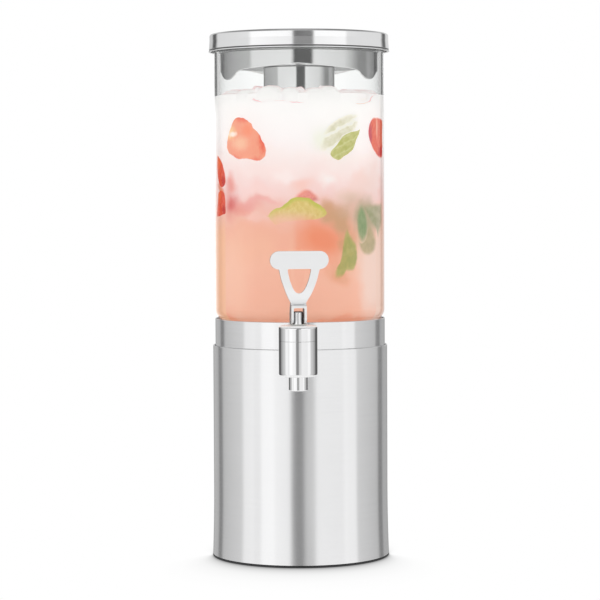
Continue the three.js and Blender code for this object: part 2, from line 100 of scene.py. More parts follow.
def calc(nt, op, a, b=0.0, c=None, clamp=False):
    n = nt.nodes.new("ShaderNodeMath")
    n.operation, n.use_clamp = op, clamp
    for i, v in enumerate([a, b] + ([] if c is None else [c])):
        if isinstance(v, bpy.types.NodeSocket):
            nt.links.new(v, n.inputs[i])
        else:
            n.inputs[i].default_value = v
    return n.outputs[0]


def vec(nt, op, a, b=(0, 0, 0)):
    n = nt.nodes.new("ShaderNodeVectorMath")
    n.operation = op
    for i, v in enumerate([a, b]):
        if isinstance(v, bpy.types.NodeSocket):
            nt.links.new(v, n.inputs[i])
        else:
            n.inputs[i].default_value = v
    return n.outputs[1] if op in ("LENGTH", "DISTANCE", "DOT_PRODUCT") else n.outputs[0]


def span(nt, value, a, b, lo=0.0, hi=1.0, kind="SMOOTHSTEP"):
    n = put(
        nt,
        "ShaderNodeMapRange",
        {"Value": value, "From Min": a, "From Max": b, "To Min": lo, "To Max": hi},
        interpolation_type=kind,
    )
    return n.outputs[0]


def mix(nt, fac, a, b, how="MIX"):
    n = nt.nodes.new("ShaderNodeMix")
    n.data_type, n.blend_type = "RGBA", how
    for i, v in ((0, fac), (6, a), (7, b)):
        if isinstance(v, bpy.types.NodeSocket):
            nt.links.new(v, n.inputs[i])
        elif i:
            n.inputs[i].default_value = (*v[:3], 1)
        else:
            n.inputs[i].default_value = v
    return n.outputs[2]


def ramp(nt, fac, stops):
    n = nt.nodes.new("ShaderNodeValToRGB")
    e = n.color_ramp.elements
    while len(e) < len(stops):
        e.new(1.0)
    for k, (p, c) in zip(e, sorted(stops, key=lambda s: s[0])):
        k.position = p
    for k, (p, c) in zip(e, sorted(stops, key=lambda s: s[0])):
        k.color = (c, c, c, 1) if isinstance(c, (int, float)) else (*c, 1)
    nt.links.new(fac, n.inputs[0])
    return n.outputs[0]


def lin(*rgb):
    """A screen colour, 0 to 255, as a linear one."""
    return tuple(
        (v / 255 / 12.92) if v / 255 <= 0.04045 else ((v / 255 + 0.055) / 1.055) ** 2.4
        for v in rgb
    )


# ------------------------------------------------------------------ studio
# Steel shows the room as upright bands, so the room is drawn by direction: soft boxes, darker gaps
# and a white back. Angles are degrees round the object from straight ahead, positive to the left.
world = bpy.data.worlds.new("studio")
bpy.context.scene.world = world
world.use_nodes = True
world.cycles.sampling_method = "NONE"
nt = world.node_tree
nt.nodes.clear()
direction = put(nt, "ShaderNodeTexCoord").outputs["Generated"]
axes = put(nt, "ShaderNodeSeparateXYZ", {0: direction})
round_ = calc(
    nt,
    "ARCTAN2",
    calc(nt, "MULTIPLY", axes.outputs[0], -1.0),
    calc(nt, "MULTIPLY", axes.outputs[1], -1.0),
)
turn = calc(nt, "MULTIPLY_ADD", round_, 1 / (2 * math.pi), 0.5)


def bands(stops):
    """[(from, to, brightness at from, at to), ...] in degrees as stops of a ramp."""
    out = []
    for a, b, u, v in stops:
        out += [(0.5 + a / 360, u / 1.25), (0.5 + b / 360, v / 1.25)]
    return out


LOW = [  # below eye level: pedestal, collar and tap
    (-180, -163, 0.36, 0.38),
    (-160, -141, 0.44, 0.46),
    (-136, -127, 0.23, 0.23),
    (-123, -81, 0.54, 0.70),
    (-79, -62, 1.04, 1.04),
    (-58, -23, 0.93, 0.96),
    (-19, -8, 0.80, 0.70),
    (-3, 9, 0.30, 0.29),
    (14, 32, 0.98, 1.04),
    (35, 51, 1.14, 1.12),
    (54, 62, 0.92, 0.93),
    (65, 79, 1.03, 1.00),
    (83, 122, 0.70, 0.55),
    (127, 134, 0.24, 0.24),
    (140, 160, 0.50, 0.50),
    (163, 180, 0.39, 0.38),
]
HIGH = [  # above eye level: the lid
    (-180, -151, 0.76, 0.74),
    (-146, -138, 0.15, 0.15),
    (-131, -66, 0.84, 0.88),
    (-62, -21, 1.20, 1.20),
    (-18, 5, 0.20, 0.19),
    (8.5, 62, 1.18, 1.20),
    (67, 127.5, 0.88, 0.80),
    (134, 142, 0.12, 0.12),
    (149, 180, 0.64, 0.62),
]
INSIDE = [  # what the plug and the ice tube show, seen through the jar
    (-180, -140, 0.10, 0.36),
    (-137, -118, 0.45, 0.50),
    (-110, -96, 0.29, 0.30),
    (-88, -78, 0.46, 0.68),
    (-69, -22, 0.87, 1.00),
    (-19, 6, 0.085, 0.08),
    (10, 69, 1.01, 0.95),
    (75, 139, 0.58, 0.44),
    (142, 180, 0.36, 0.10),
]
RIM = [  # what shines in the jar's wall where a line of sight only grazes it
    (-178, -166, 1.20, 1.00),
    (-162, -157.5, 0.04, 0.04),
    (-153, -60, 0.74, 0.80),
    (0, 0, 0.80, 0.80),
    (60, 148, 0.90, 0.90),
    (151, 154, 0.60, 0.55),
    (157, 164, 0.03, 0.03),
    (168, 178, 0.90, 0.95),
]
GLARE = [  # what the glass itself shines with, a quarter of its brightness
    (-180, -164, 0.22, 0.16),
    (-156, -155, 0.10, 0.10),
    (-152, -147, 0.00, 0.00),
    (-140, -90, 0.16, 0.20),
    (-66, -24, 0.10, 0.05),
    (-20, 9, 0.03, 0.03),
    (12, 60, 0.05, 0.05),
    (66, 122, 0.12, 0.16),
    (134, 140, 0.04, 0.05),
    (146, 158, 0.14, 0.26),
    (163, 180, 0.32, 0.32),
]
low = ramp(nt, turn, bands(LOW))
high = ramp(nt, turn, bands(HIGH))
path = put(nt, "ShaderNodeLightPath")
up = axes.outputs[2]
room = mix(nt, span(nt, up, -0.02, 0.03), low, high)
room = mix(nt, span(nt, up, 0.20, 0.28), room, (0.50, 0.50, 0.50))
room = mix(nt, span(nt, up, 0.34, 0.70), room, (0.20, 0.20, 0.20))
room = mix(nt, span(nt, up, 0.93, 0.985), room, (0.62, 0.62, 0.62))
room = mix(nt, span(nt, up, -0.30, -0.60), room, (0.76, 0.76, 0.76))
inside = ramp(nt, turn, bands(INSIDE))
inside = mix(nt, span(nt, up, 0.45, 0.8), inside, (0.45, 0.45, 0.45))
inside = mix(nt, span(nt, up, -0.45, -0.8), inside, (0.45, 0.45, 0.45))
rim_light = ramp(nt, turn, bands(RIM))
mirrored = calc(nt, "GREATER_THAN", path.outputs["Glossy Depth"], 0.5)
crossed = calc(nt, "GREATER_THAN", path.outputs["Transmission Depth"], 3.5)
through = mix(nt, crossed, rim_light, inside)
through = mix(nt, mirrored, (0.84, 0.84, 0.84), through)
glare = ramp(nt, turn, bands(GLARE))
behind = calc(nt, "ABSOLUTE", calc(nt, "SUBTRACT", turn, 0.5))
upper = mix(nt, span(nt, behind, 0.455, 0.480), (0.05, 0.05, 0.05), (0.26, 0.26, 0.26))
glare = mix(nt, span(nt, up, 0.030, 0.046), glare, upper)
glare = mix(nt, 1.0, glare, (4.0, 4.0, 4.0), "MULTIPLY")
clean = mix(nt, path.outputs["Is Reflection Ray"], through, glare)
room = mix(nt, path.outputs["Is Singular Ray"], room, clean)
soft = mix(nt, span(nt, up, -0.3, 0.9), (0.80, 0.80, 0.80), (0.98, 0.98, 0.98))
lit = calc(nt, "GREATER_THAN", path.outputs["Diffuse Depth"], 0.5)
lit = calc(nt, "MAXIMUM", lit, path.outputs["Is Diffuse Ray"])
room = mix(nt, lit, room, soft)
room_bg = put(nt, "ShaderNodeBackground", {"Color": room, "Strength": 1.25})
white_bg = put(nt, "ShaderNodeBackground", {"Color": (1, 1, 1, 1), "Strength": 1.0})
both = put(
    nt,
    "ShaderNodeMixShader",
    {0: path.outputs["Is Camera Ray"], 1: room_bg.outputs[0], 2: white_bg.outputs[0]},
)
out = put(nt, "ShaderNodeOutputWorld", {"Surface": both.outputs[0]})


# ------------------------------------------------------------------ materials
def material(name):
    m = bpy.data.materials.new(name)
    m.use_nodes = True
    nt = m.node_tree
    return m, nt, nt.nodes["Principled BSDF"]


def spot(nt, stretch=(1, 1, 1)):
    """Where a point is on the piece, in metres, with each direction stretched."""
    c = put(nt, "ShaderNodeTexCoord").outputs["Object"]
    return vec(nt, "MULTIPLY", c, stretch)


def grain(nt, where, scale, detail=3.0, rough=0.55):
    n = put(
        nt,
        "ShaderNodeTexNoise",
        {"Vector": where, "Scale": scale, "Detail": detail, "Roughness": rough},
    )
    return n.outputs["Fac"]


def turned_away(nt, shade, start, end, dark):
    """Paints shade into a colour where the surface turns away from the eye, standing in for what a dark room
    does to metal.
    """
    facing = put(nt, "ShaderNodeLayerWeight", {"Blend": 0.5}).outputs["Facing"]
    out = vec(nt, "SCALE", shade)
    nt.links.new(span(nt, facing, start, end, 1.0, dark), out.node.inputs["Scale"])
    return out


def steel(
    name, base, rough, aniso, ring=2400.0, streak=0.05, bump=0.05, edge=None, tint=0.55
):
    """Steel brushed round its axis: fine rings, a little uneven, and a faint mottle."""
    m, nt, p = material(name)
    rings = grain(nt, spot(nt, (14, 14, ring)), 1.0, 5.0, 0.62)
    mottle = grain(nt, spot(nt), 34.0, 3.0)
    tone = calc(
        nt,
        "ADD",
        calc(nt, "MULTIPLY_ADD", rings, streak * 2, 1 - streak),
        calc(nt, "MULTIPLY_ADD", mottle, 0.03, -0.015),
    )
    shade = vec(nt, "SCALE", tuple(base))
    nt.links.new(tone, shade.node.inputs["Scale"])
    # edge paints shade into the colour where the surface turns away from the eye: a painted dark reflection of
    # the room
    if edge:
        shade = turned_away(nt, shade, *edge)
    nt.links.new(shade, p.inputs["Base Color"])
    p.inputs["Metallic"].default_value = 1.0
    if edge:
        p.inputs["Specular Tint"].default_value = (tint, tint, tint, 1)
    nt.links.new(
        calc(
            nt,
            "ADD",
            calc(nt, "MULTIPLY_ADD", rings, 0.10, rough - 0.05),
            calc(nt, "MULTIPLY_ADD", mottle, 0.03, -0.015),
        ),
        p.inputs["Roughness"],
    )
    p.inputs["Anisotropic"].default_value = aniso
    p.inputs["Anisotropic Rotation"].default_value = 0.25
    t = put(nt, "ShaderNodeTangent", direction_type="RADIAL", axis="Z")
    nt.links.new(t.outputs[0], p.inputs["Tangent"])
    b = put(
        nt,
        "ShaderNodeBump",
        {"Strength": bump, "Distance": 0.00006, "Height": rings},
    )
    nt.links.new(b.outputs[0], p.inputs["Normal"])
    return m


def chrome(name, base, rough, scratch=0.04, edge=None):
    """Polished steel with hairline marks and a little unevenness in its gloss."""
    m, nt, p = material(name)
    fine = grain(nt, spot(nt, (260, 260, 900)), 1.0, 4.0)
    wide = grain(nt, spot(nt), 90.0, 2.0)
    tone = calc(nt, "MULTIPLY_ADD", wide, 0.05, 0.975)
    shade = vec(nt, "SCALE", tuple(base))
    nt.links.new(tone, shade.node.inputs["Scale"])
    # edge paints shade into the colour where the surface turns away from the eye: a painted dark reflection of
    # the room
    if edge:
        shade = turned_away(nt, shade, *edge)
    nt.links.new(shade, p.inputs["Base Color"])
    p.inputs["Metallic"].default_value = 1.0
    if edge:
        p.inputs["Specular Tint"].default_value = (0.5, 0.5, 0.5, 1)
    nt.links.new(
        calc(nt, "MULTIPLY_ADD", fine, scratch, rough - scratch / 2), p.inputs["Roughness"]
    )
    b = put(
        nt, "ShaderNodeBump", {"Strength": 0.03, "Distance": 0.00004, "Height": fine}
    )
    nt.links.new(b.outputs[0], p.inputs["Normal"])
    return m


def satin(name, base, rough):
    """Fine bead-blasted metal."""
    m, nt, p = material(name)
    fine = grain(nt, spot(nt), 4200.0, 3.0)
    wide = grain(nt, spot(nt), 120.0, 3.0)
    tone = calc(
        nt,
        "ADD",
        calc(nt, "MULTIPLY_ADD", fine, 0.06, 0.95),
        calc(nt, "MULTIPLY_ADD", wide, 0.04, 0.0),
    )
    shade = vec(nt, "SCALE", tuple(base))
    nt.links.new(tone, shade.node.inputs["Scale"])
    # painted shade where the surface turns away from the eye: a painted dark reflection of the room
    shade = turned_away(nt, shade, 0.45, 0.80, 0.25)
    nt.links.new(shade, p.inputs["Base Color"])
    p.inputs["Metallic"].default_value = 0.4
    nt.links.new(calc(nt, "MULTIPLY_ADD", fine, 0.12, rough - 0.06), p.inputs["Roughness"])
    b = put(nt, "ShaderNodeBump", {"Strength": 0.12, "Distance": 0.00005, "Height": fine})
    nt.links.new(b.outputs[0], p.inputs["Normal"])
    return m


def plastic(name, base, rough, speck=0.06, bump=0.1, scale=1500.0):
    """A moulded or rubbery piece: slight mottle, fine surface texture."""
    m, nt, p = material(name)
    fine = grain(nt, spot(nt), scale, 3.0)
    wide = grain(nt, spot(nt), 60.0, 3.0)
    tone = calc(
        nt,
        "ADD",
        calc(nt, "MULTIPLY_ADD", fine, speck, 1 - speck),
        calc(nt, "MULTIPLY_ADD", wide, speck, 0.0),
    )
    shade = vec(nt, "SCALE", tuple(base))
    nt.links.new(tone, shade.node.inputs["Scale"])
    nt.links.new(shade, p.inputs["Base Color"])
    nt.links.new(calc(nt, "MULTIPLY_ADD", fine, 0.14, rough - 0.07), p.inputs["Roughness"])
    b = put(nt, "ShaderNodeBump", {"Strength": bump, "Distance": 0.0001, "Height": fine})
    nt.links.new(b.outputs[0], p.inputs["Normal"])
    return m


def glass(name):
    """Clear soda-lime glass, very slightly wavy as blown glass is."""
    m, nt, p = material(name)
    waves = grain(nt, spot(nt, (1, 1, 0.35)), 22.0, 1.0)
    p.inputs["Base Color"].default_value = (0.985, 0.992, 0.988, 1)
    p.inputs["Roughness"].default_value = 0.0
    p.inputs["IOR"].default_value = 1.5
    p.inputs["Transmission Weight"].default_value = 1.0
    b = put(nt, "ShaderNodeBump", {"Strength": 0.03, "Distance": 0.0004, "Height": waves})
    nt.links.new(b.outputs[0], p.inputs["Normal"])
    return m


brushed_tube = steel("steel_brushed_tube", (0.83, 0.83, 0.835), 0.20, 0.8)
brushed_collar = steel("steel_brushed_collar", (0.83, 0.83, 0.835), 0.17, 0.8)
lid_steel = steel("steel_lid", (0.84, 0.84, 0.845), 0.12, 0.6, 1500.0, 0.035, 0.03)
# The (start, end, dark) edge numbers of plug_steel, polished and stem_steel, and every satin piece, paint shade
# where the surface turns away from the eye.
plug_steel = steel(
    "steel_plug", (0.82, 0.82, 0.82), 0.11, 0.6, 1500.0, 0.03, 0.03, (0.68, 0.74, 0.20), 0.18
)
under_steel = chrome("steel_plug_under", (0.80, 0.80, 0.80), 0.12, 0.03)
tube_steel = steel("steel_tube", (0.82, 0.82, 0.82), 0.11, 0.6, 1500.0, 0.03, 0.03)
inner_steel = steel("steel_plain", (0.74, 0.74, 0.745), 0.30, 0.3, 900.0, 0.05, 0.05)
polished = chrome("steel_polished", (0.88, 0.88, 0.885), 0.07, edge=(0.24, 0.76, 0.28))
polished_dull = chrome("steel_turned", (0.74, 0.74, 0.74), 0.18, 0.1)
stem_steel = chrome("steel_stem", (0.88, 0.88, 0.885), 0.08, edge=(0.10, 0.45, 0.12))
# A lighter, duller copy of the steel, painted light: it goes on faces turned up, down or inward, which would
# otherwise show the room's dark ceiling, floor or gaps.
painted_light_steel = plastic("steel_soft", (0.86, 0.86, 0.86), 0.42, 0.02, 0.02)
painted_light_steel.node_tree.nodes["Principled BSDF"].inputs["Metallic"].default_value = 0.2
# Painted shadow: a dark steel for the groove between the lid's flare and its bead, where the rolled edge is in
# shade.
groove_shadow_steel = chrome("steel_seam", (0.13, 0.13, 0.13), 0.35, 0.05)
lever_satin = satin("steel_satin", (0.82, 0.825, 0.83), 0.5)
clear = glass("glass_clear")
rubber = plastic("silicone", (0.72, 0.72, 0.70), 0.5)
rubber_clear = plastic("silicone_clear", (0.93, 0.93, 0.93), 0.16, 0.03, 0.01, 300.0)
p = rubber_clear.node_tree.nodes["Principled BSDF"]
p.inputs["Transmission Weight"].default_value = 0.92
p.inputs["IOR"].default_value = 1.15
black_rubber = plastic("foot_black", (0.016, 0.016, 0.018), 0.55, 0.2)
nylon = plastic("nylon_white", (0.66, 0.66, 0.63), 0.45)


# ------------------------------------------------------------------ the drink's colour
def seen_at(side):
    """Where on the drink's wall, as an angle from straight ahead, a line of sight ends that would
    pass this far right of the axis: the glass bends it."""
    side = max(-76.0, min(76.0, side))
    bend = math.asin(side / 76.2) - math.asin(side / 114.3)
    return bend + math.asin(side / (1.5 * CORE)) - math.asin(side / 2060) + VIEW


def on_wall(side, z):
    """A place on the drink's wall, from how far right of the axis the camera sees it."""
    a = seen_at(side)
    return (CORE * math.sin(a) * MM, -CORE * math.cos(a) * MM, z * MM)


def round_wall(degrees, z):
    """A place on the drink's wall, by its angle from straight ahead, positive to the right."""
    a = math.radians(degrees)
    return (CORE * math.sin(a) * MM, -CORE * math.cos(a) * MM, z * MM)


# Soft blots of colour in the drink, one of them a painted highlight: place, half sizes in millimetres, colour,
# strength, share of the radius that is plain
CLOUDS_AND_HIGHLIGHT = [
    (on_wall(-13, 283), (18, 18, 26), lin(242, 182, 160), 0.6, 0.1),
    (on_wall(-40, 306), (20, 20, 6), lin(246, 202, 190), 0.85, 0.2),
    (on_wall(-22, 302), (16, 16, 8), lin(243, 190, 170), 0.6, 0.2),
    (on_wall(-62, 318), (16, 16, 20), lin(218, 112, 108), 1.0, 0.1),
    (on_wall(-53, 311), (14, 14, 8), lin(234, 150, 136), 0.6, 0.1),
    (on_wall(-48, 315), (20, 20, 7), lin(236, 168, 160), 0.8, 0.1),
    (on_wall(-38, 319), (30, 30, 4.5), lin(238, 176, 170), 0.8, 0.0),
    (on_wall(-62, 337), (13, 13, 9), lin(234, 156, 146), 0.9, 0.1),
    (on_wall(-38, 328), (28, 28, 7), lin(249, 218, 213), 0.9, 0.3),
    (on_wall(-36, 345), (30, 30, 8), lin(250, 230, 226), 0.6, 0.2),
    (on_wall(-14, 343), (14, 14, 8), lin(253, 238, 235), 0.8, 0.3),
    (on_wall(0, 334), (17, 17, 9), lin(248, 206, 196), 0.85, 0.1),
    # A painted highlight: the white round spot on an ice cube.
    (on_wall(24, 338.6), (13.5, 13.5, 10.5), lin(250, 243, 240), 0.9, 0.0),
    (on_wall(30, 313), (15, 15, 14), lin(212, 166, 132), 1.0, 0.3),
    (on_wall(41, 306), (14, 14, 16), lin(206, 164, 128), 0.95, 0.3),
    (on_wall(45, 326), (16, 16, 12), lin(238, 210, 196), 0.7, 0.1),
    (on_wall(54, 337), (16, 16, 12), lin(246, 214, 206), 0.7, 0.1),
    (on_wall(61, 306), (20, 20, 24), lin(176, 164, 132), 0.95, 0.25),
    (on_wall(46, 284), (14, 14, 20), lin(206, 160, 120), 0.85, 0.1),
    (on_wall(62, 284), (16, 16, 18), lin(206, 180, 146), 0.85, 0.2),
    (on_wall(38, 258), (13, 13, 12), lin(226, 164, 128), 0.8, 0.1),
    (on_wall(71, 332), (8, 12, 14), lin(236, 190, 178), 0.75, 0.1),
    (on_wall(26, 374), (18, 18, 18), lin(236, 240, 222), 0.7, 0.1),
    (on_wall(-35, 408.0), (9, 12, 0.9), lin(240, 204, 207), 0.9, 0.3),
    (on_wall(-21, 408.9), (9, 9, 0.7), lin(240, 208, 210), 0.9, 0.2),
    (on_wall(-7, 407.0), (12, 12, 0.8), lin(238, 200, 204), 0.9, 0.2),
    (on_wall(54, 408.9), (10, 20, 0.9), lin(226, 196, 184), 0.9, 0.3),
    (on_wall(64, 409.9), (8, 24, 0.9), lin(236, 192, 194), 0.9, 0.3),
    (on_wall(-18, 413), (6, 6, 5), lin(232, 226, 230), 0.5, 0.1),
    (on_wall(57, 413.5), (10, 20, 3.5), lin(240, 230, 228), 0.6, 0.3),
    (on_wall(-58, 256), (20, 26, 52), lin(247, 201, 177), 0.55, 0.2),
    (on_wall(66, 256), (24, 34, 52), lin(240, 214, 202), 0.85, 0.3),
    (on_wall(62, 336), (22, 26, 22), lin(236, 212, 204), 0.6, 0.1),
    (on_wall(48, 320), (20, 22, 18), lin(212, 184, 162), 0.65, 0.0),
    (on_wall(-66, 330), (8, 12, 22), lin(232, 172, 164), 0.6, 0.1),
    (on_wall(-72, 331), (6, 14, 5), lin(226, 128, 84), 0.85, 0.2),
    (round_wall(128, 312), (26, 26, 22), lin(236, 150, 134), 0.7, 0.1),
    (round_wall(150, 290), (30, 30, 30), lin(238, 152, 118), 0.7, 0.1),
    (round_wall(205, 322), (26, 26, 12), lin(238, 176, 166), 0.7, 0.1),
    (round_wall(232, 296), (26, 26, 24), lin(212, 180, 140), 0.7, 0.1),
    (round_wall(176, 340), (16, 16, 12), lin(253, 244, 242), 0.7, 0.2),
]


def drink_colour(nt):
    """The drink: peach below, cloudy pink where the ice begins, nearly white where it is packed."""
    here = put(nt, "ShaderNodeTexCoord").outputs["Object"]
    swirl = put(
        nt,
        "ShaderNodeTexNoise",
        {"Vector": here, "Scale": 26.0, "Detail": 2.0, "Roughness": 0.5},
    ).outputs["Color"]
    fine = put(
        nt,
        "ShaderNodeTexNoise",
        {"Vector": here, "Scale": 95.0, "Detail": 3.0, "Roughness": 0.5},
    ).outputs["Color"]
    push = vec(nt, "SUBTRACT", swirl, (0.5, 0.5, 0.5))
    push = vec(nt, "MULTIPLY", push, (0.030, 0.030, 0.034))
    small = vec(nt, "SUBTRACT", fine, (0.5, 0.5, 0.5))
    small = vec(nt, "MULTIPLY", small, (0.007, 0.007, 0.007))
    moved = vec(nt, "ADD", vec(nt, "ADD", here, push), small)
    z = put(nt, "ShaderNodeSeparateXYZ", {0: moved}).outputs[2]
    level = span(nt, z, 0.213, 0.423, kind="LINEAR")

    def at(mm):
        return (mm - 213) / 210

    colour = ramp(
        nt,
        level,
        [
            (at(216), lin(241, 167, 138)),
            (at(219), lin(242, 182, 156)),
            (at(228), lin(243, 187, 163)),
            (at(243), lin(243, 188, 165)),
            (at(262), lin(244, 191, 168)),
            (at(280), lin(244, 191, 166)),
            (at(296), lin(242, 186, 163)),
            (at(306), lin(242, 192, 175)),
            (at(316), lin(242, 198, 188)),
            (at(328), lin(245, 214, 210)),
            (at(340), lin(247, 225, 221)),
            (at(356), lin(249, 236, 233)),
            (at(374), lin(251, 246, 245)),
            (at(412), lin(252, 251, 249)),
        ],
    )
    # The ice tube's end shades the middle of the drink, from its edge to the right.
    a = seen_at(-6.8)
    edge = vec(nt, "DOT_PRODUCT", here, (math.cos(a), math.sin(a), 0))
    away = vec(nt, "SUBTRACT", moved, on_wall(22, 287))
    away = vec(nt, "DIVIDE", away, (0.044, 0.044, 0.036))
    near = span(nt, vec(nt, "LENGTH", away), 1.0, 0.1, 0.0, 0.96)
    near = calc(nt, "MULTIPLY", near, span(nt, edge, -0.0016, 0.0052))
    colour = mix(nt, near, colour, lin(239, 150, 116))
    for place, half, tint, strength, plain in CLOUDS_AND_HIGHLIGHT:
        away = vec(nt, "SUBTRACT", moved, place)
        away = vec(nt, "DIVIDE", away, tuple(h * MM for h in half))
        near = span(nt, vec(nt, "LENGTH", away), 1.0, plain, 0.0, strength)
        colour = mix(nt, near, colour, tint)
    # Painted refraction: at the far left and right the thick glass shows a strip of its own, painted here on the
    # drink.
    flat = put(nt, "ShaderNodeSeparateXYZ", {0: here})
    front = span(nt, flat.outputs[1], 0.022, 0.006)
    low = span(nt, flat.outputs[2], 0.318, 0.285)
    for side, tint, strength in ((-66.9, lin(244, 193, 156), 0.8), (68.6, lin(238, 206, 190), 0.8)):
        a = seen_at(side)
        edge = vec(nt, "DOT_PRODUCT", here, (math.cos(a), math.sin(a), 0))
        sign = -1.0 if side < 0 else 1.0
        strip = span(nt, calc(nt, "MULTIPLY", edge, sign), -0.0004, 0.0005, 0, strength)
        strip = calc(nt, "MULTIPLY", strip, calc(nt, "MULTIPLY", front, low))
        colour = mix(nt, strip, colour, tint)
    # Painted sheen: pink where the surface turns away from the eye, in a thin band just under the drink's top.
    facing = put(nt, "ShaderNodeLayerWeight", {"Blend": 0.5}).outputs["Facing"]
    top = flat.outputs[2]
    outline = calc(
        nt, "MULTIPLY", span(nt, facing, 0.5, 0.9), span(nt, top, 0.4095, 0.4115, 0, 0.45)
    )
    return mix(nt, outline, colour, lin(240, 200, 200))


def wet_with_painted_glow(p, nt, colour, glow=0.62, rough=0.4):
    """The finish of what is in the drink: soft and wet, with a painted glow (emission) standing in for light
    coming through from behind.
    """
    shade = vec(nt, "SCALE", colour)
    shade.node.inputs["Scale"].default_value = 0.58
    nt.links.new(shade, p.inputs["Base Color"])
    nt.links.new(colour, p.inputs["Emission Color"])
    p.inputs["Emission Strength"].default_value = glow
    p.inputs["Roughness"].default_value = rough
    p.inputs["Specular IOR Level"].default_value = 0.12


drink_mat, nt, p = material("drink_peach")
wet_with_painted_glow(p, nt, drink_colour(nt))

ice_mat, nt, p = material("drink_ice")
cracks = grain(nt, spot(nt), 160.0, 4.0, 0.6)
haze_and_painted_sheen = mix(nt, span(nt, cracks, 0.42, 0.68), lin(253, 248, 248), lin(255, 255, 255))
facing = put(nt, "ShaderNodeLayerWeight", {"Blend": 0.5}).outputs["Facing"]
# Painted sheen: pink where the ice turns away from the eye.
haze_and_painted_sheen = mix(nt, span(nt, facing, 0.45, 0.95), haze_and_painted_sheen, lin(238, 202, 202))
wet_with_painted_glow(p, nt, haze_and_painted_sheen, 0.62, 0.25)
b = put(nt, "ShaderNodeBump", {"Strength": 0.25, "Distance": 0.001, "Height": cracks})
nt.links.new(b.outputs[0], p.inputs["Normal"])


def local(nt):
    """The piece's own flat coordinates, -1 to 1 across it."""
    return put(nt, "ShaderNodeUVMap", uv_map="flat").outputs[0]


def murk(nt, start, wobble=0.10):
    """0 in the middle of a piece of fruit, 1 at its edge, where the drink closes over it."""
    a = put(nt, "ShaderNodeAttribute", attribute_name="rim", attribute_type="GEOMETRY")
    n = grain(nt, spot(nt), 260.0, 2.0)
    at = calc(nt, "ADD", a.outputs["Fac"], calc(nt, "MULTIPLY_ADD", n, wobble, -wobble / 2))
    return span(nt, at, start, 1.0)


def fruit(name, paint, start, cover=0.0, glow=0.64):
    """A material for a piece of fruit; paint returns its colour. cover is how far the drink veils it."""
    m, nt, p = material(name)
    colour = paint(nt)
    veil = calc(nt, "MAXIMUM", murk(nt, start), cover)
    wet_with_painted_glow(p, nt, mix(nt, veil, colour, drink_colour(nt)), glow, 0.35)
    return m


def strawberry(base, spots, seeds=0.3):
    """Cut strawberry: a base colour and soft spots of others, [(u, v, half u, half v, colour,
    strength), ...], with flesh streaks and seeds."""

    def paint(nt):
        uv = local(nt)
        flesh = grain(nt, vec(nt, "MULTIPLY", uv, (9.0, 4.0, 1.0)), 1.0, 3.0)
        grit = put(
            nt,
            "ShaderNodeTexVoronoi",
            {"Vector": vec(nt, "MULTIPLY", uv, (7.0, 8.0, 1.0)), "Scale": 1.0},
        ).outputs["Distance"]
        colour = mix(nt, span(nt, flesh, 0.35, 0.7, 0, 0.3), base, lin(252, 176, 140))
        for u, v, a, b, tint, strength in spots:
            away = vec(nt, "DIVIDE", vec(nt, "SUBTRACT", uv, (u, v, 0)), (a, b, 1.0))
            away = calc(
                nt, "ADD", vec(nt, "LENGTH", away), calc(nt, "MULTIPLY_ADD", flesh, 0.6, -0.3)
            )
            colour = mix(nt, span(nt, away, 1.0, 0.15, 0, strength), colour, tint)
        return mix(nt, span(nt, grit, 0.16, 0.05, 0, seeds), colour, lin(252, 214, 150))

    return paint


def leaf(pale, green, dark, veins=7.0, lean=0.6, rib=0.3, lines=0.3):
    def paint(nt):
        uv = local(nt)
        x = put(nt, "ShaderNodeSeparateXYZ", {0: uv})
        across = calc(nt, "ABSOLUTE", x.outputs[0])
        slant = calc(nt, "MULTIPLY_ADD", across, -lean, x.outputs[1])
        wave = calc(nt, "SINE", calc(nt, "MULTIPLY", slant, veins * math.pi))
        patch = grain(nt, vec(nt, "MULTIPLY", uv, (3.0, 3.0, 1.0)), 1.0, 4.0)
        colour = mix(nt, span(nt, patch, 0.35, 0.65), green, dark)
        colour = mix(nt, span(nt, wave, 0.4, 1.0, 0, lines), colour, pale)
        return mix(nt, span(nt, across, 0.12, 0.0, 0, rib), colour, pale)

    return paint


def streaks(pale, green, dark, tilt, count=9.0, lines=0.35):
    """Half a leaf, its veins slanting one way."""

    def paint(nt):
        uv = local(nt)
        t = math.radians(tilt)
        along = vec(nt, "DOT_PRODUCT", uv, (math.cos(t), math.sin(t), 0))
        shake = grain(nt, vec(nt, "MULTIPLY", uv, (2.0, 2.0, 1.0)), 1.0, 2.0)
        along = calc(nt, "ADD", along, calc(nt, "MULTIPLY_ADD", shake, 0.4, -0.2))
        wave = calc(nt, "SINE", calc(nt, "MULTIPLY", along, count * math.pi / 2))
        patch = grain(nt, vec(nt, "MULTIPLY", uv, (3.0, 3.0, 1.0)), 1.0, 4.0)
        colour = mix(nt, span(nt, patch, 0.35, 0.65), green, dark)
        return mix(nt, span(nt, wave, 0.2, 1.0, 0, lines), colour, pale)

    return paint


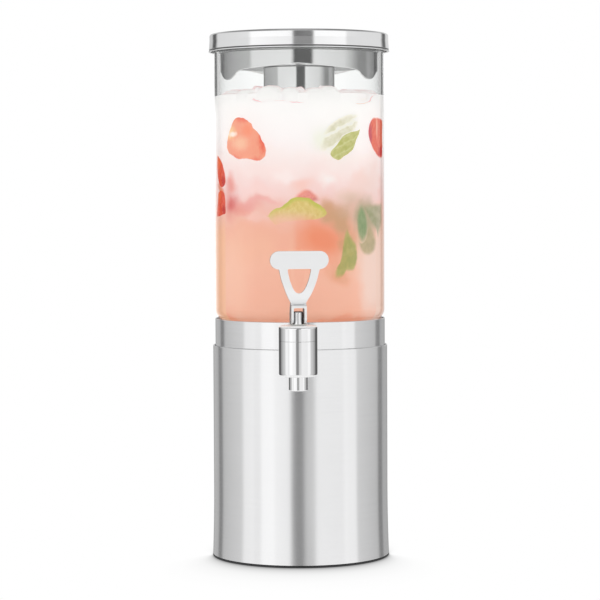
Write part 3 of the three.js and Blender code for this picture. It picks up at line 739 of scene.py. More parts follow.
def citrus(rind, flesh, pith):
    def paint(nt):
        uv = local(nt)
        x = put(nt, "ShaderNodeSeparateXYZ", {0: uv})
        spread = calc(
            nt, "ARCTAN2", x.outputs[0], calc(nt, "ADD", x.outputs[1], 1.4)
        )
        rays = calc(nt, "SINE", calc(nt, "MULTIPLY", spread, 16.0))
        cell = grain(nt, vec(nt, "MULTIPLY", uv, (8.0, 3.0, 1.0)), 1.0, 3.0)
        colour = mix(nt, span(nt, cell, 0.3, 0.7), flesh, pith)
        colour = mix(nt, span(nt, rays, 0.8, 1.0, 0, 0.3), colour, pith)
        a = put(nt, "ShaderNodeAttribute", attribute_name="rim", attribute_type="GEOMETRY")
        upper = calc(
            nt, "MULTIPLY", span(nt, a.outputs["Fac"], 0.60, 0.90), span(nt, x.outputs[1], -0.1, 0.4)
        )
        colour = mix(nt, upper, colour, rind)
        ends = span(nt, calc(nt, "ABSOLUTE", x.outputs[0]), 0.6, 0.95, 0, 0.6)
        colour = mix(nt, ends, colour, rind)
        # the middle of its lower side is lost in the drink
        low = calc(
            nt,
            "MULTIPLY",
            span(nt, x.outputs[1], 0.35, -0.75, 0, 0.9),
            span(nt, vec(nt, "LENGTH", vec(nt, "SUBTRACT", uv, (-0.3, -0.4, 0))), 1.1, 0.3),
        )
        return mix(nt, low, colour, drink_colour(nt))

    return paint


# ------------------------------------------------------------------ mesh helpers
def fillet(points, closed=True, steps=5):
    """[(x, y, radius), ...] with each corner rounded. The radius may be left out."""
    out = []
    n = len(points)
    for i, q in enumerate(points):
        here = Vector(q[:2])
        radius = q[2] if len(q) > 2 else 0
        if radius <= 0 or (not closed and i in (0, n - 1)):
            out.append(tuple(here))
            continue
        a = Vector(points[i - 1][:2]) - here
        b = Vector(points[(i + 1) % n][:2]) - here
        la, lb = a.length, b.length
        a.normalize(), b.normalize()
        half = a.angle(b) / 2
        if half > math.radians(88):
            out.append(tuple(here))
            continue
        t = min(radius / math.tan(half), la * 0.48, lb * 0.48)
        r = t * math.tan(half)
        centre = here + (a + b).normalized() * (r / math.sin(half))
        u, v = here + a * t - centre, here + b * t - centre
        a0 = math.atan2(u.y, u.x)
        d = (math.atan2(v.y, v.x) - a0 + math.pi) % (2 * math.pi) - math.pi
        ease = min(0.35, 0.3 * (la - t), 0.3 * (lb - t))
        if ease > 0.02:
            out.append(tuple(here + a * (t + ease)))
        for k in range(steps + 1):
            out.append(
                (
                    centre.x + r * math.cos(a0 + d * k / steps),
                    centre.y + r * math.sin(a0 + d * k / steps),
                )
            )
        if ease > 0.02:
            out.append(tuple(here + b * (t + ease)))
    return out


def curve_through(points, n=6):
    """Points on a smooth curve through the given ones."""
    out = []
    for i in range(len(points) - 1):
        p = [Vector(points[max(0, min(len(points) - 1, i + k))]) for k in (-1, 0, 1, 2)]
        for j in range(n):
            t = j / n
            out.append(
                tuple(
                    0.5
                    * (
                        2 * p[1]
                        + (p[2] - p[0]) * t
                        + (2 * p[0] - 5 * p[1] + 4 * p[2] - p[3]) * t * t
                        + (3 * p[1] - p[0] - 3 * p[2] + p[3]) * t**3
                    )
                )
            )
    out.append(tuple(points[-1]))
    return out


def build(name, verts, faces, angle=34):
    mesh = bpy.data.meshes.new(name)
    mesh.from_pydata([tuple(c * MM for c in v) for v in verts], [], faces)
    bm = bmesh.new()
    bm.from_mesh(mesh)
    bmesh.ops.remove_doubles(bm, verts=bm.verts, dist=1e-7)
    bmesh.ops.recalc_face_normals(bm, faces=bm.faces)
    bm.to_mesh(mesh)
    bm.free()
    obj = bpy.data.objects.new(name, mesh)
    bpy.context.scene.collection.objects.link(obj)
    soften(obj, angle)
    return obj


def soften(obj, angle=34):
    obj.data.shade_smooth()
    obj.data.set_sharp_from_angle(angle=math.radians(angle))
    return obj


def lathe(name, profile, sides=192, x=0.0, y=0.0, angle=34, heights=None):
    """A solid of revolution about an upright axis. The profile is closed on itself, or starts and
    ends on the axis. heights(r, angle, z) may change a point's height."""
    verts, rows, faces = [], [], []
    for r, z in profile:
        if r < 1e-6:
            rows.append([len(verts)] * sides)
            verts.append((x, y, z))
            continue
        row = []
        for i in range(sides):
            a = 2 * math.pi * i / sides
            h = heights(r, a, z) if heights else z
            row.append(len(verts))
            verts.append((x + r * math.cos(a), y + r * math.sin(a), h))
        rows.append(row)
    closed = profile[0][0] > 1e-6
    pairs = list(zip(rows, rows[1:])) + ([(rows[-1], rows[0])] if closed else [])
    for a, b in pairs:
        for i in range(sides):
            j = (i + 1) % sides
            face = [a[i], a[j], b[j], b[i]]
            short = [v for k, v in enumerate(face) if v != face[k - 1]]
            if len(short) >= 3:
                faces.append(short)
    return build(name, verts, faces, angle)


def lathe_y(name, profile, z, sides=96, angle=34):
    """A solid of revolution about an axis along Y at height z; the profile is [(radius, y), ...]."""
    verts, rows, faces = [], [], []
    for r, y in profile:
        row = []
        for i in range(sides if r > 1e-6 else 1):
            a = 2 * math.pi * i / sides
            row.append(len(verts))
            verts.append((r * math.cos(a), y, z + r * math.sin(a)))
        rows.append(row if r > 1e-6 else row * sides)
    closed = profile[0][0] > 1e-6
    pairs = list(zip(rows, rows[1:])) + ([(rows[-1], rows[0])] if closed else [])
    for a, b in pairs:
        for i in range(sides):
            j = (i + 1) % sides
            face = [a[i], a[j], b[j], b[i]]
            short = [v for k, v in enumerate(face) if v != face[k - 1]]
            if len(short) >= 3:
                faces.append(short)
    return build(name, verts, faces, angle)


def prism(name, outline, low, high, place):
    """An outline extruded from low to high; place(u, v, w) gives the point for outline u, v."""
    n = len(outline)
    verts = [place(u, v, low) for u, v in outline] + [place(u, v, high) for u, v in outline]
    faces = [list(range(n))[::-1], list(range(n, 2 * n))]
    faces += [[i, (i + 1) % n, n + (i + 1) % n, n + i] for i in range(n)]
    return build(name, verts, faces)


def combine(obj, other, how):
    """Boolean of two solids; the second is used up."""
    m = obj.modifiers.new("b", "BOOLEAN")
    m.object, m.operation, m.solver = other, how, "EXACT"
    dg = bpy.context.evaluated_depsgraph_get()
    mesh = bpy.data.meshes.new_from_object(obj.evaluated_get(dg))
    obj.modifiers.clear()
    obj.data = mesh
    bpy.data.objects.remove(other)
    soften(obj)
    return obj


def bevel(obj, width, segments=3, angle=38):
    """Rounds the sharp edges of a finished solid."""
    bm = bmesh.new()
    bm.from_mesh(obj.data)
    bmesh.ops.dissolve_limit(
        bm, angle_limit=math.radians(0.6), verts=bm.verts, edges=bm.edges
    )
    bmesh.ops.remove_doubles(bm, verts=bm.verts, dist=2e-6)
    bm.to_mesh(obj.data)
    bm.free()
    m = obj.modifiers.new("b", "BEVEL")
    m.width, m.segments, m.limit_method = width * MM, segments, "ANGLE"
    m.angle_limit = math.radians(angle)
    m.use_clamp_overlap = True
    obj.data.shade_smooth()
    for e in obj.data.edges:
        e.use_edge_sharp = False
    w = obj.modifiers.new("w", "WEIGHTED_NORMAL")
    w.mode, w.weight, w.keep_sharp = "FACE_AREA", 60, False
    dg = bpy.context.evaluated_depsgraph_get()
    mesh = bpy.data.meshes.new_from_object(obj.evaluated_get(dg))
    obj.modifiers.clear()
    obj.data = mesh
    return obj


def finish_piece(obj, mat, body, slot, *nodes):
    obj.data.materials.clear()
    obj.data.materials.append(mat)
    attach(obj, body)
    if nodes:
        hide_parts(*nodes)
    return obj


# ------------------------------------------------------------------ pedestal
def flare(z):
    return 0 if z >= 60 else 1.2 * ((60 - z) / 57.7) ** 1.8


heights_up = [2.3, 2.6, 4, 7, 11, 16, 22, 29, 37, 46, 60, 100, 150, 189.5]
wall = [(78.5 + flare(z), z) for z in heights_up]
wall += fillet([(78.5, 190.0), (78.5, 190.9, 0.35), (77.3, 190.9, 0.35), (77.3, 190.0)], False)
wall += [(77.3 + flare(z), z) for z in reversed(heights_up)]
pedestal = lathe("pedestal_wall", wall, 256)
notch = [(-13.5, 197), (-13.5, 186)]
notch += [
    (13.5 * math.cos(math.pi + math.pi * i / 32), 186 + 13.5 * math.sin(math.pi + math.pi * i / 32))
    for i in range(1, 32)
]
notch += [(13.5, 186), (13.5, 197)]
cutter = prism("cutter", notch, 60, 90, lambda u, v, w: (u, -w, v))
combine(pedestal, cutter, "DIFFERENCE")
finish_piece(pedestal, brushed_tube, "pedestal", "steel_brushed", "pedestal_tube")

foot = lathe(
    "pedestal_foot",
    fillet(
        [
            (0, 0),
            (79.7, 0, 0.7),
            (79.7, 2.0, 0.25),
            (77.9, 2.0, 0.1),
            (77.9, 9.0, 0.4),
            (75.6, 9.0, 0.4),
            (75.6, 3.2, 0.3),
            (0, 3.2),
        ],
        False,
        4,
    ),
    224,
)
finish_piece(foot, black_rubber, "pedestal", "foot_black", "foot_cap")

# ------------------------------------------------------------------ collar and jar
collar = lathe(
    "collar_wall",
    fillet(
        [
            (76.4, 171.8, 0.2),
            (76.4, 215.0, 0.45),
            (75.4, 215.0, 0.3),
            (75.4, 171.8, 0.2),
        ],
        True,
        5,
    ),
    256,
)
combine(
    collar,
    lathe_y("cutter", [(0, -90), (8.4, -90), (8.4, -60), (0, -60)], SHANK_Z, 64),
    "DIFFERENCE",
)
finish_piece(collar, brushed_collar, "reservoir", "steel_brushed", "collar_ring")

jar = lathe(
    "jar_glass",
    fillet(
        [
            (9.3, 213.0, 0.5),
            (76.2, 213.0, 10),
            (76.2, 457.2, 1.5),
            (72.5, 457.2, 1.5),
            (72.5, 218.0, 7),
            (9.3, 218.0, 0.5),
        ],
        True,
        12,
    ),
    288,
)
finish_piece(jar, clear, "reservoir", "glass_clear", "glass_jar")

def repaint(ob, mat, test):
    """Gives the faces that pass the test a second material."""
    ob.data.materials.append(mat)
    last = len(ob.data.materials) - 1
    for face in ob.data.polygons:
        if test(face.center, face.normal):
            face.material_index = last


# ------------------------------------------------------------------ lid, plug and ice tube
cap = lathe(
    "lid_cap",
    fillet(
        [
            (0, 469.4),
            (40, 469.4),
            (80.2, 469.4, 1.9),
            (80.2, 463.0, 8.0),
            (80.75, 455.8, 0.25),
            (80.5, 455.5, 0.1),
            (80.5, 454.7, 0.1),
            (81.1, 454.5, 0.2),
            (81.1, 453.7, 0.4),
            (79.0, 453.7, 0.4),
            (79.0, 468.2, 0.6),
            (40, 468.2),
            (0, 468.2),
        ],
        False,
        6,
    ),
    256,
)
finish_piece(cap, lid_steel, "lid", "lid_steel", "lid_shell")
# Painted shadow: the groove between the lid's flare and its bead gets the dark steel.
repaint(
    cap,
    groove_shadow_steel,
    lambda c, n: 0.4546 < c.z < 0.4557 and 0.0795 < math.hypot(c.x, c.y) < 0.08065,
)
# Painted light: the lighter copy of the steel on the cap's inner skirt and the underside of its bead.
repaint(
    cap,
    painted_light_steel,
    lambda c, n: c.z < 0.4682 and (math.hypot(c.x, c.y) < 0.0793 or n.z < -0.9 and c.z < 0.455),
)

EDGE = [  # lower edge of the plug's wall: angle from straight ahead, height
    (0, 439.85),
    (15.7, 438.2),
    (27.5, 437.0),
    (37.2, 436.1),
    (43.9, 435.2),
    (48.4, 433.6),
    (50.2, 431.8),
    (52.1, 430.0),
    (55.3, 428.2),
    (58.1, 427.5),
    (61.4, 427.4),
    (65.1, 428.4),
    (68.3, 430.2),
    (70.6, 432.0),
    (73.3, 433.9),
    (79.5, 435.6),
    (86, 436.6),
    (97, 438.4),
    (104, 439.85),
    (108, 439.9),
    (130, 439.9),
    (134, 439.85),
    (139, 439.2),
    (146, 438.0),
    (154, 436.4),
    (158, 435.8),
    (162, 435.0),
    (165.8, 433.7),
    (168.7, 431.9),
    (170.8, 430.1),
    (174, 428.4),
    (177, 427.6),
    (180, 427.4),
]
edge_curve = curve_through(EDGE, 5)
edge_curve += [(360 - a, z) for a, z in reversed(edge_curve[1:-1])]
pan = lathe(
    "lid_pan",
    fillet(
        [
            (0, 439.8),
            (40, 439.8),
            (70.5, 439.8, 0.5),
            (70.5, 458.9, 0.4),
            (78.6, 458.9, 0.4),
            (78.6, 459.9, 0.4),
            (69.5, 459.9, 0.4),
            (69.5, 440.8, 0.4),
            (40, 440.8),
            (0, 440.8),
        ],
        False,
        5,
    ),
    256,
)
verts, faces = [], []
for a, z in edge_curve:
    s, c = math.sin(math.radians(a)), -math.cos(math.radians(a))
    ring = [
        (70.52, z + 0.35),
        (70.52, z + 0.80),
        (70.52, z + 1.40),
        (70.52, 457.0),
        (69.52, 457.0),
        (69.52, z + 1.40),
        (69.52, z + 0.80),
        (69.52, z + 0.35),
        (69.65, z + 0.10),
        (70.0, z),
        (70.38, z + 0.10),
    ]
    verts += [(r * s, r * c, max(h, 0)) for r, h in ring]
n = len(edge_curve)
for i in range(n):
    for j in range(11):
        a, b, k = 11 * i, 11 * ((i + 1) % n), (j + 1) % 11
        faces.append([a + j, a + k, b + k, b + j])
skirt = build("skirt", verts, faces)
combine(pan, skirt, "UNION")
finish_piece(pan, plug_steel, "lid", "lid_steel", "lid_plug")
pan.visible_glossy = False  # the tube under it would show the lobes twice
repaint(
    pan,
    under_steel,
    lambda c, n: n.z < -0.8 and 0.4390 < c.z < 0.4405 and math.hypot(c.x, c.y) < 0.0702,
)
# Painted light: the lighter copy of the steel on the plug's outer flange.
repaint(pan, painted_light_steel, lambda c, n: math.hypot(c.x, c.y) > 0.0712)

seal = lathe(
    "lid_gasket",
    fillet(
        [
            (70.8, 452.0, 0.5),
            (72.15, 452.0, 0.6),
            (72.15, 457.5, 0.2),
            (76.0, 457.5, 0.5),
            (76.0, 458.6, 0.5),
            (70.8, 458.6, 0.3),
        ]
    ),
    224,
)
finish_piece(seal, rubber_clear, "lid", "silicone", "lid_seal")

socket = lathe(
    "tube_ring",
    fillet([(27.5, 430, 0.4), (30.5, 430, 0.6), (30.5, 439.5, 0.1), (27.5, 439.5, 0.1)]),
    128,
)
finish_piece(socket, polished_dull, "lid", "steel_polished", "tube_socket")
washer = lathe(
    "tube_washer",
    fillet([(30.6, 438.9, 0.1), (30.9, 438.9, 0.1), (30.9, 439.7, 0.1), (30.6, 439.7, 0.1)]),
    128,
)
finish_piece(washer, rubber_clear, "gasket" if "gasket" in frame["bodies"] else "lid", "silicone", "tube_gasket")

chiller = lathe(
    "chill_tube",
    fillet(
        [
            (0, 252.0),
            (31.75, 252.0, 6),
            (31.75, 439.3, 0.15),
            (30.95, 439.3, 0.15),
            (30.95, 252.8, 5.3),
            (0, 252.8),
        ],
        False,
        8,
    ),
    160,
)
finish_piece(chiller, tube_steel, "tube", "steel_polished", "ice_tube")

# ------------------------------------------------------------------ tap
barrel = lathe(
    "tap_barrel",
    fillet(
        [
            (5.0, 178.0, 0.2),
            (5.0, 175.0, 0.2),
            (7.0, 175.0, 0.2),
            (7.0, 170.4, 0.4),
            (16.6, 170.4, 2.9),
            (16.6, 200.9, 0.12),
            (12.4, 200.9, 0.1),
            (12.4, 194.2, 0.2),
            (10.0, 194.2, 0.2),
            (10.0, 178.0, 0.2),
        ],
        True,
        7,
    ),
    144,
    0,
    TAP_Y,
)
shank = lathe_y(
    "shank",
    fillet(
        [
            (4.6, -98.0),
            (9.6, -98.0),
            (9.6, -90.0, 0.5),
            (7.9, -90.0, 0.4),
            (7.9, -81.7, 0.3),
            (12.0, -81.7, 0.6),
            (12.0, -79.2, 0.2),
            (7.9, -79.2, 0.2),
            (7.9, -66.0, 0.4),
            (6.6, -66.0, 0.2),
            (6.6, -56.0, 0.5),
            (4.6, -56.0, 0.3),
        ],
        True,
        4,
    ),
    SHANK_Z,
    96,
)
combine(barrel, shank, "UNION")
combine(
    barrel,
    lathe_y("cutter", [(0, -101), (4.6, -101), (4.6, -50), (0, -50)], SHANK_Z, 64),
    "DIFFERENCE",
)
finish_piece(barrel, polished, "reservoir", "steel_polished", "tap_body")
# Painted light: the lighter copy of the steel on the barrel's underside.
repaint(barrel, painted_light_steel, lambda c, n: n.z < -0.35 and c.z < 0.180)

bonnet = lathe(
    "tap_cap",
    fillet(
        [
            (5.9, 209.5, 0.2),
            (5.9, 214.3, 0.3),
            (16.6, 214.3, 2.4),
            (16.6, 200.98, 0.12),
            (12.1, 200.98, 0.1),
            (12.1, 196.3, 0.3),
            (10.2, 196.3, 0.2),
            (10.2, 209.5, 0.2),
        ],
        True,
        7,
    ),
    144,
    0,
    TAP_Y,
)
finish_piece(bonnet, polished, "reservoir", "steel_polished", "tap_bonnet")
# Painted light: the lighter copy of the steel on the top of the tap's cap.
repaint(bonnet, painted_light_steel, lambda c, n: n.z > 0.35 and c.z > 0.210)

nozzle = lathe(
    "tap_nozzle",
    fillet(
        [
            (4.8, 174.7, 0.2),
            (4.8, 169.5, 0.2),
            (5.6, 168.7, 0.2),
            (5.6, 158.2, 0.4),
            (8.1, 158.2, 0.9),
            (8.1, 170.7, 0.3),
            (6.7, 170.7, 0.2),
            (6.7, 174.7, 0.3),
        ],
        True,
        6,
    ),
    96,
    0,
    TAP_Y,
)
finish_piece(nozzle, polished, "reservoir", "steel_polished", "tap_spout")
# Painted light: the lighter copy of the steel on the spout's underside.
repaint(nozzle, painted_light_steel, lambda c, n: n.z < -0.35 and c.z < 0.165)

outer_washer = lathe_y(
    "tap_washer",
    fillet([(8.25, -78.9, 0.2), (12.0, -78.9, 0.6), (12.0, -70.0), (8.25, -70.0)]),
    SHANK_Z,
    96,
)
combine(
    outer_washer,
    lathe("cutter", [(0, 150), (76.7, 150), (76.7, 220), (0, 220)], 256),
    "DIFFERENCE",
)
finish_piece(outer_washer, rubber, "reservoir", "silicone", "tap_washer_outer")

# The stem, bush, pin and lever are made about the tap's axis and then turned with the handle.
handle_place = Matrix.Translation((0, TAP_Y * MM, 0)) @ Matrix.Rotation(LEVER_YAW, 4, "Z")

bush = lathe(
    "tap_bush",
    fillet(
        [
            (4.55, 206, 0.2),
            (5.55, 206, 0.3),
            (5.55, 214.6, 0.1),
            (7.2, 214.6, 0.15),
            (7.2, 215.2, 0.25),
            (4.55, 215.2, 0.2),
        ]
    ),
    96,
)
bush.data.transform(handle_place)
finish_piece(bush, nylon, "handle_bush", "nylon_white", "stem_bush")

stem = lathe(
    "tap_stem",
    fillet(
        [
            (0, 180.5),
            (2.0, 180.5, 0.2),
            (2.0, 182.6, 0.1),
            (9.0, 182.6, 0.3),
            (9.0, 184.3, 0.3),
            (4.25, 184.8, 0.2),
            (4.25, 226.4, 1.6),
            (0, 226.4),
        ],
        False,
        7,
    ),
    96,
)


def along_x(u, v, w):
    return (w, u, v)


def circle(cx, cy, r, n=40):
    return [
        (cx + r * math.cos(2 * math.pi * i / n), cy + r * math.sin(2 * math.pi * i / n))
        for i in range(n)
    ]


combine(stem, prism("cutter", circle(0, 219.5, 1.5), -9, 9, along_x), "DIFFERENCE")
stem.data.transform(handle_place)
finish_piece(stem, stem_steel, "stem", "steel_polished", "valve_stem")

pin = prism("tap_pin", circle(0, 219.5, 1.2, 48), -7.0, 7.0, along_x)
bevel(pin, 0.2, 3)
pin.data.transform(handle_place)
finish_piece(pin, polished, "stem", "steel_polished", "lever_pin")

# Lever: front outline cut through a bent sheet, and two cheeks that carry the cams.
right = curve_through(
    [
        (5.6, 231.2),
        (7.8, 235.1),
        (10.9, 241.0),
        (13.6, 247.8),
        (15.5, 253.2),
        (16.9, 259.2),
        (17.6, 261.7),
    ],
    4,
)
ends = [
    (
        17.55 + 7.75 * math.cos(-math.pi / 2 + 0.16 + (math.pi - 0.16) * i / 32),
        269.55 + 7.75 * math.sin(-math.pi / 2 + 0.16 + (math.pi - 0.16) * i / 32),
    )
    for i in range(33)
]
half = [(6.7, 221.0), (6.7, 230.0), (6.2, 230.9)] + right + ends
outline = half + [(-x, z) for x, z in reversed(half)]
outline += [(-4.6, 221.0), (-4.6, 227.9), (-3.9, 228.6), (3.9, 228.6), (4.6, 227.9), (4.6, 221.0)]
plate = prism("tap_handle", outline, -2, 10, lambda u, v, w: (u, -w, v))
rim = curve_through(
    [(0, 241.1), (1.9, 241.6), (3.7, 243.1), (5.7, 246.2), (7.9, 251.7), (9.3, 257.0), (10.0, 260.4)],
    5,
) + [(10.05, 261.1), (9.8, 261.7), (9.2, 262.0)]
hole = rim + [(-x, z) for x, z in reversed(rim[1:])]
combine(
    plate, prism("cutter", hole, -4, 12, lambda u, v, w: (u, -w, v)), "DIFFERENCE"
)
front = curve_through(
    [
        (-6.6, 229.4),
        (-6.3, 230.5),
        (-5.2, 231.1),
        (-3.6, 231.4),
        (-2.95, 232.3),
        (-3.2, 234.4),
        (-4.1, 237.2),
        (-5.5, 240.8),
        (-6.35, 244.2),
        (-6.6, 247.6),
    ],
    5,
)
back = curve_through(
    [
        (-4.6, 247.4),
        (-4.35, 243.9),
        (-3.55, 240.3),
        (-2.15, 236.6),
        (-1.2, 233.9),
        (-0.9, 231.6),
        (-1.5, 230.1),
        (-2.6, 229.4),
        (-4.6, 229.2),
    ],
    5,
)
side = [(-6.6, 220.5)] + front + [(-6.6, 279.0), (-4.6, 279.0)] + back + [(-4.6, 220.5)]
combine(plate, prism("cutter", side, -30, 30, along_x), "INTERSECT")

LIFT, TILT, C0 = 2.5, math.radians(80), 4.0
K = LIFT / TILT
cam = []
for i in range(25):
    a = TILT * i / 24
    h = C0 + K * a
    cam.append((-h * math.sin(a) - K * math.cos(a), -h * math.cos(a) + K * math.sin(a)))
cheek = [(-6.6, 10.3), (-6.6, cam[-1][1] + 0.8)] + cam[::-1]
cheek += [(2.2, -C0), (3.2, -C0 + 0.5), (3.9, -C0 + 1.4), (4.2, -C0 + 2.4), (4.2, 4.6)]
cheek += curve_through([(4.2, 4.6), (3.3, 8.2), (1.9, 11.4), (0.6, 13.2), (-0.9, 13.7), (-2.4, 13.4), (-4.8, 11.7), (-6.1, 11.2)], 4)[1:]
cheek = [(u, v + 219.5) for u, v in cheek]
for lo, hi in ((4.6, 6.7), (-6.7, -4.6)):
    combine(plate, prism("cheek", cheek, lo, hi, along_x), "UNION")
combine(plate, prism("cutter", circle(0, 219.5, 1.5, 48), -9, 9, along_x), "DIFFERENCE")
bevel(plate, 0.32, 3)
for v in plate.data.vertices:  # it stands a little high and a touch askew
    v.co.x += 0.011 * max(0.0, v.co.z - 0.231)
    v.co.z += 0.0007 * max(0.0, min(1.0, (v.co.z - 0.222) / 0.006))
plate.data.transform(handle_place)
finish_piece(plate, lever_satin, "lever", "steel_satin", "tap_lever")


# ------------------------------------------------------------------ drink, ice and fruit
LUMPS = [  # angle from straight ahead, distance from the axis, half width and depth, top
    (-21.7, 62, 12.4, 14, 421.2),
    (-5.6, 62, 10.0, 13, 419.4),
    (14.0, 62, 12.5, 13, 419.0),
    (23.5, 62, 10.5, 13, 420.7),
    (53.5, 60, 21.5, 14, 418.4),
    (-43.0, 60, 14.5, 14, 419.0),
    (-66.0, 60, 12.5, 14, 418.6),
    (-92.0, 58, 15.0, 14, 419.4),
    (86.0, 58, 13.0, 14, 419.6),
    (118.0, 58, 15.0, 15, 419.0),
    (150.0, 58, 15.0, 14, 421.2),
    (186.0, 59, 16.0, 14, 419.6),
    (218.0, 58, 14.0, 14, 421.4),
    (244.0, 58, 12.0, 14, 419.0),
]


def surface(x, y):
    """Height of the drink's top at a place: packed ice showing through it."""
    h = 415.2 + 0.6 * noise.noise(Vector((x * 0.05, y * 0.05, 1.7)))
    for turn_, r, a, b, top in LUMPS:
        turn_ = math.radians(turn_)
        u = x * math.cos(turn_) + y * math.sin(turn_)
        v = x * math.sin(turn_) - y * math.cos(turn_) - r
        d = (abs(u / a) ** 2.6 + abs(v / b) ** 2.6) ** (1 / 2.6)
        if d < 1:
            lump = 410.0 + (top - 410.0) * (1 - d**2.6) ** 0.5
            lump += 0.5 * noise.noise(Vector((x * 0.16, y * 0.16, 5.1)))
            h = max(h, lump)
    return h


core = [(0, 223.4), (17.4, 223.4), (17.4, 217.94)]
core += fillet([(17.4, 217.94), (CORE, 217.94, 7.05), (CORE, 300)], False, 12)[1:-1]
core += [(CORE, z) for z in (240, 270, 300, 330, 360, 390, 405)]
n_top = 46
top_rows = [CORE - (CORE - 32.4) * (k / n_top) for k in range(n_top + 1)]
core += [(r, 1000.0 + r) for r in top_rows]
core += [(32.4, z) for z in (400, 330, 241)] + [(0, 241)]


def drink_height(r, a, z):
    if z < 900:
        return z
    h = surface(r * math.cos(a), r * math.sin(a))
    if r > CORE - 3:  # the lumps round over to the wall
        t = (r - (CORE - 3)) / 3
        h = h - 0.9 * t * t
    return h


drink = lathe("drink_body", core, 288, heights=drink_height, angle=60)
finish_piece(drink, drink_mat, "reservoir", "drink")


def patch(name, outline, mat, slot_name, lift=0.38, place="seen", centre=None, deep=2.5):
    """A piece of fruit lying against the inside of the jar's wall, where the drink's clearest part
    is. The outline is [(across, height), ...]; across is from the axis as the camera sees it, or
    along the wall from an angle."""
    rings = 14
    smooth = curve_through(outline + [outline[0]], 6)[:-1]
    cx = sum(q[0] for q in smooth) / len(smooth)
    cz = sum(q[1] for q in smooth) / len(smooth)
    if centre:
        cx, cz = centre
    half_x = max(abs(q[0] - cx) for q in smooth)
    half_z = max(abs(q[1] - cz) for q in smooth)
    verts, flat, rims, faces = [], [], [], []

    def spot_at(u, z, r):
        if place == "seen":
            a = seen_at(u)
        else:
            a = math.radians(place) + u / 72.0
        return (r * math.sin(a), -r * math.cos(a), z)

    def add(u, z, r, s):
        verts.append(spot_at(u, z, r))
        flat.append(((u - cx) / half_x, (z - cz) / half_z))
        rims.append(s)
        return len(verts) - 1

    mid = add(cx, cz, CORE + lift, 0.0)
    prev = None
    n = len(smooth)
    for k in range(1, rings + 1):
        s = (k / rings) ** 0.8
        rise = lift * (1 - s**5)
        row = [
            add(cx + (q[0] - cx) * s, cz + (q[1] - cz) * s, CORE + 0.02 + rise, s) for q in smooth
        ]
        for i in range(n):
            j = (i + 1) % n
            faces.append([mid, row[i], row[j]] if prev is None else [prev[i], row[i], row[j], prev[j]])
        prev = row
    row = [add(q[0], q[1], CORE - deep, 1.0) for q in smooth]
    for i in range(n):
        j = (i + 1) % n
        faces.append([prev[i], row[i], row[j], prev[j]])
    end = add(cx, cz, CORE - deep, 1.0)
    for i in range(n):
        faces.append([end, row[(i + 1) % n], row[i]])
    mesh = bpy.data.meshes.new(name)
    mesh.from_pydata([tuple(c * MM for c in v) for v in verts], [], faces)
    uv = mesh.uv_layers.new(name="flat")
    for loop in mesh.loops:
        uv.data[loop.index].uv = flat[loop.vertex_index]
    a = mesh.attributes.new("rim", "FLOAT", "POINT")
    a.data.foreach_set("value", rims)
    bm = bmesh.new()
    bm.from_mesh(mesh)
    bmesh.ops.recalc_face_normals(bm, faces=bm.faces)
    bm.to_mesh(mesh)
    bm.free()
    obj = bpy.data.objects.new(name, mesh)
    bpy.context.scene.collection.objects.link(obj)
    soften(obj, 60)
    return finish_piece(obj, mat, "reservoir", slot_name)


berry = strawberry(
    lin(241, 162, 136),
    [
        (0.85, 0.1, 0.35, 1.0, lin(232, 104, 84), 0.9),
        (-0.1, 0.95, 0.7, 0.3, lin(234, 118, 98), 0.8),
        (-0.6, -0.85, 0.6, 0.4, lin(234, 116, 104), 0.85),
        (0.5, -0.95, 0.6, 0.35, lin(234, 112, 98), 0.85),
        (-0.75, 0.35, 0.42, 0.45, lin(248, 210, 160), 0.9),
        (-0.25, -0.1, 0.6, 0.45, lin(248, 198, 168), 0.9),
        (0.1, 0.45, 0.4, 0.4, lin(248, 150, 118), 0.7),
        # A painted highlight: the near-white spot at the upper left.
        (-0.62, 0.28, 0.30, 0.16, lin(255, 242, 232), 0.95),
    ],
)
berry_deep = strawberry(
    lin(218, 54, 14),
    [
        (-0.5, 0.6, 0.7, 0.7, lin(236, 108, 52), 0.9),
        (0.5, -0.5, 0.6, 0.6, lin(186, 14, 2), 0.9),
        (-0.8, -0.2, 0.4, 0.8, lin(230, 88, 34), 0.7),
    ],
    0.2,
)
berry_side = strawberry(
    lin(224, 96, 76),
    [
        (-0.75, 0.0, 0.40, 0.9, lin(192, 78, 96), 0.85),
        (0.05, 0.35, 0.14, 0.7, lin(240, 182, 156), 0.9),
        (0.6, 0.1, 0.4, 0.8, lin(226, 108, 78), 0.8),
        (0.5, -0.7, 0.6, 0.4, lin(200, 36, 34), 0.95),
        (-0.2, 0.9, 0.6, 0.3, lin(228, 140, 124), 0.8),
    ],
    0.15,
)
leaf_pale = streaks(lin(247, 246, 240), lin(228, 225, 205), lin(214, 210, 180), 118, 7.0, 0.7)
leaf_green = streaks(lin(220, 220, 172), lin(199, 197, 134), lin(184, 186, 112), 118, 11.0, 0.35)
mint = streaks(lin(196, 190, 130), lin(176, 172, 104), lin(160, 164, 96), 100, 7.0, 0.25)
mint_cool = streaks(lin(158, 174, 132), lin(138, 160, 114), lin(122, 150, 104), 80, 6.0, 0.2)
mint_grey = streaks(lin(186, 184, 154), lin(168, 166, 134), lin(148, 152, 112), 60, 6.0, 0.3)
mint_pale = streaks(lin(196, 182, 146), lin(184, 168, 130), lin(172, 160, 120), 100, 5.0, 0.25)
lime = citrus(lin(196, 196, 96), lin(214, 192, 116), lin(224, 206, 140))

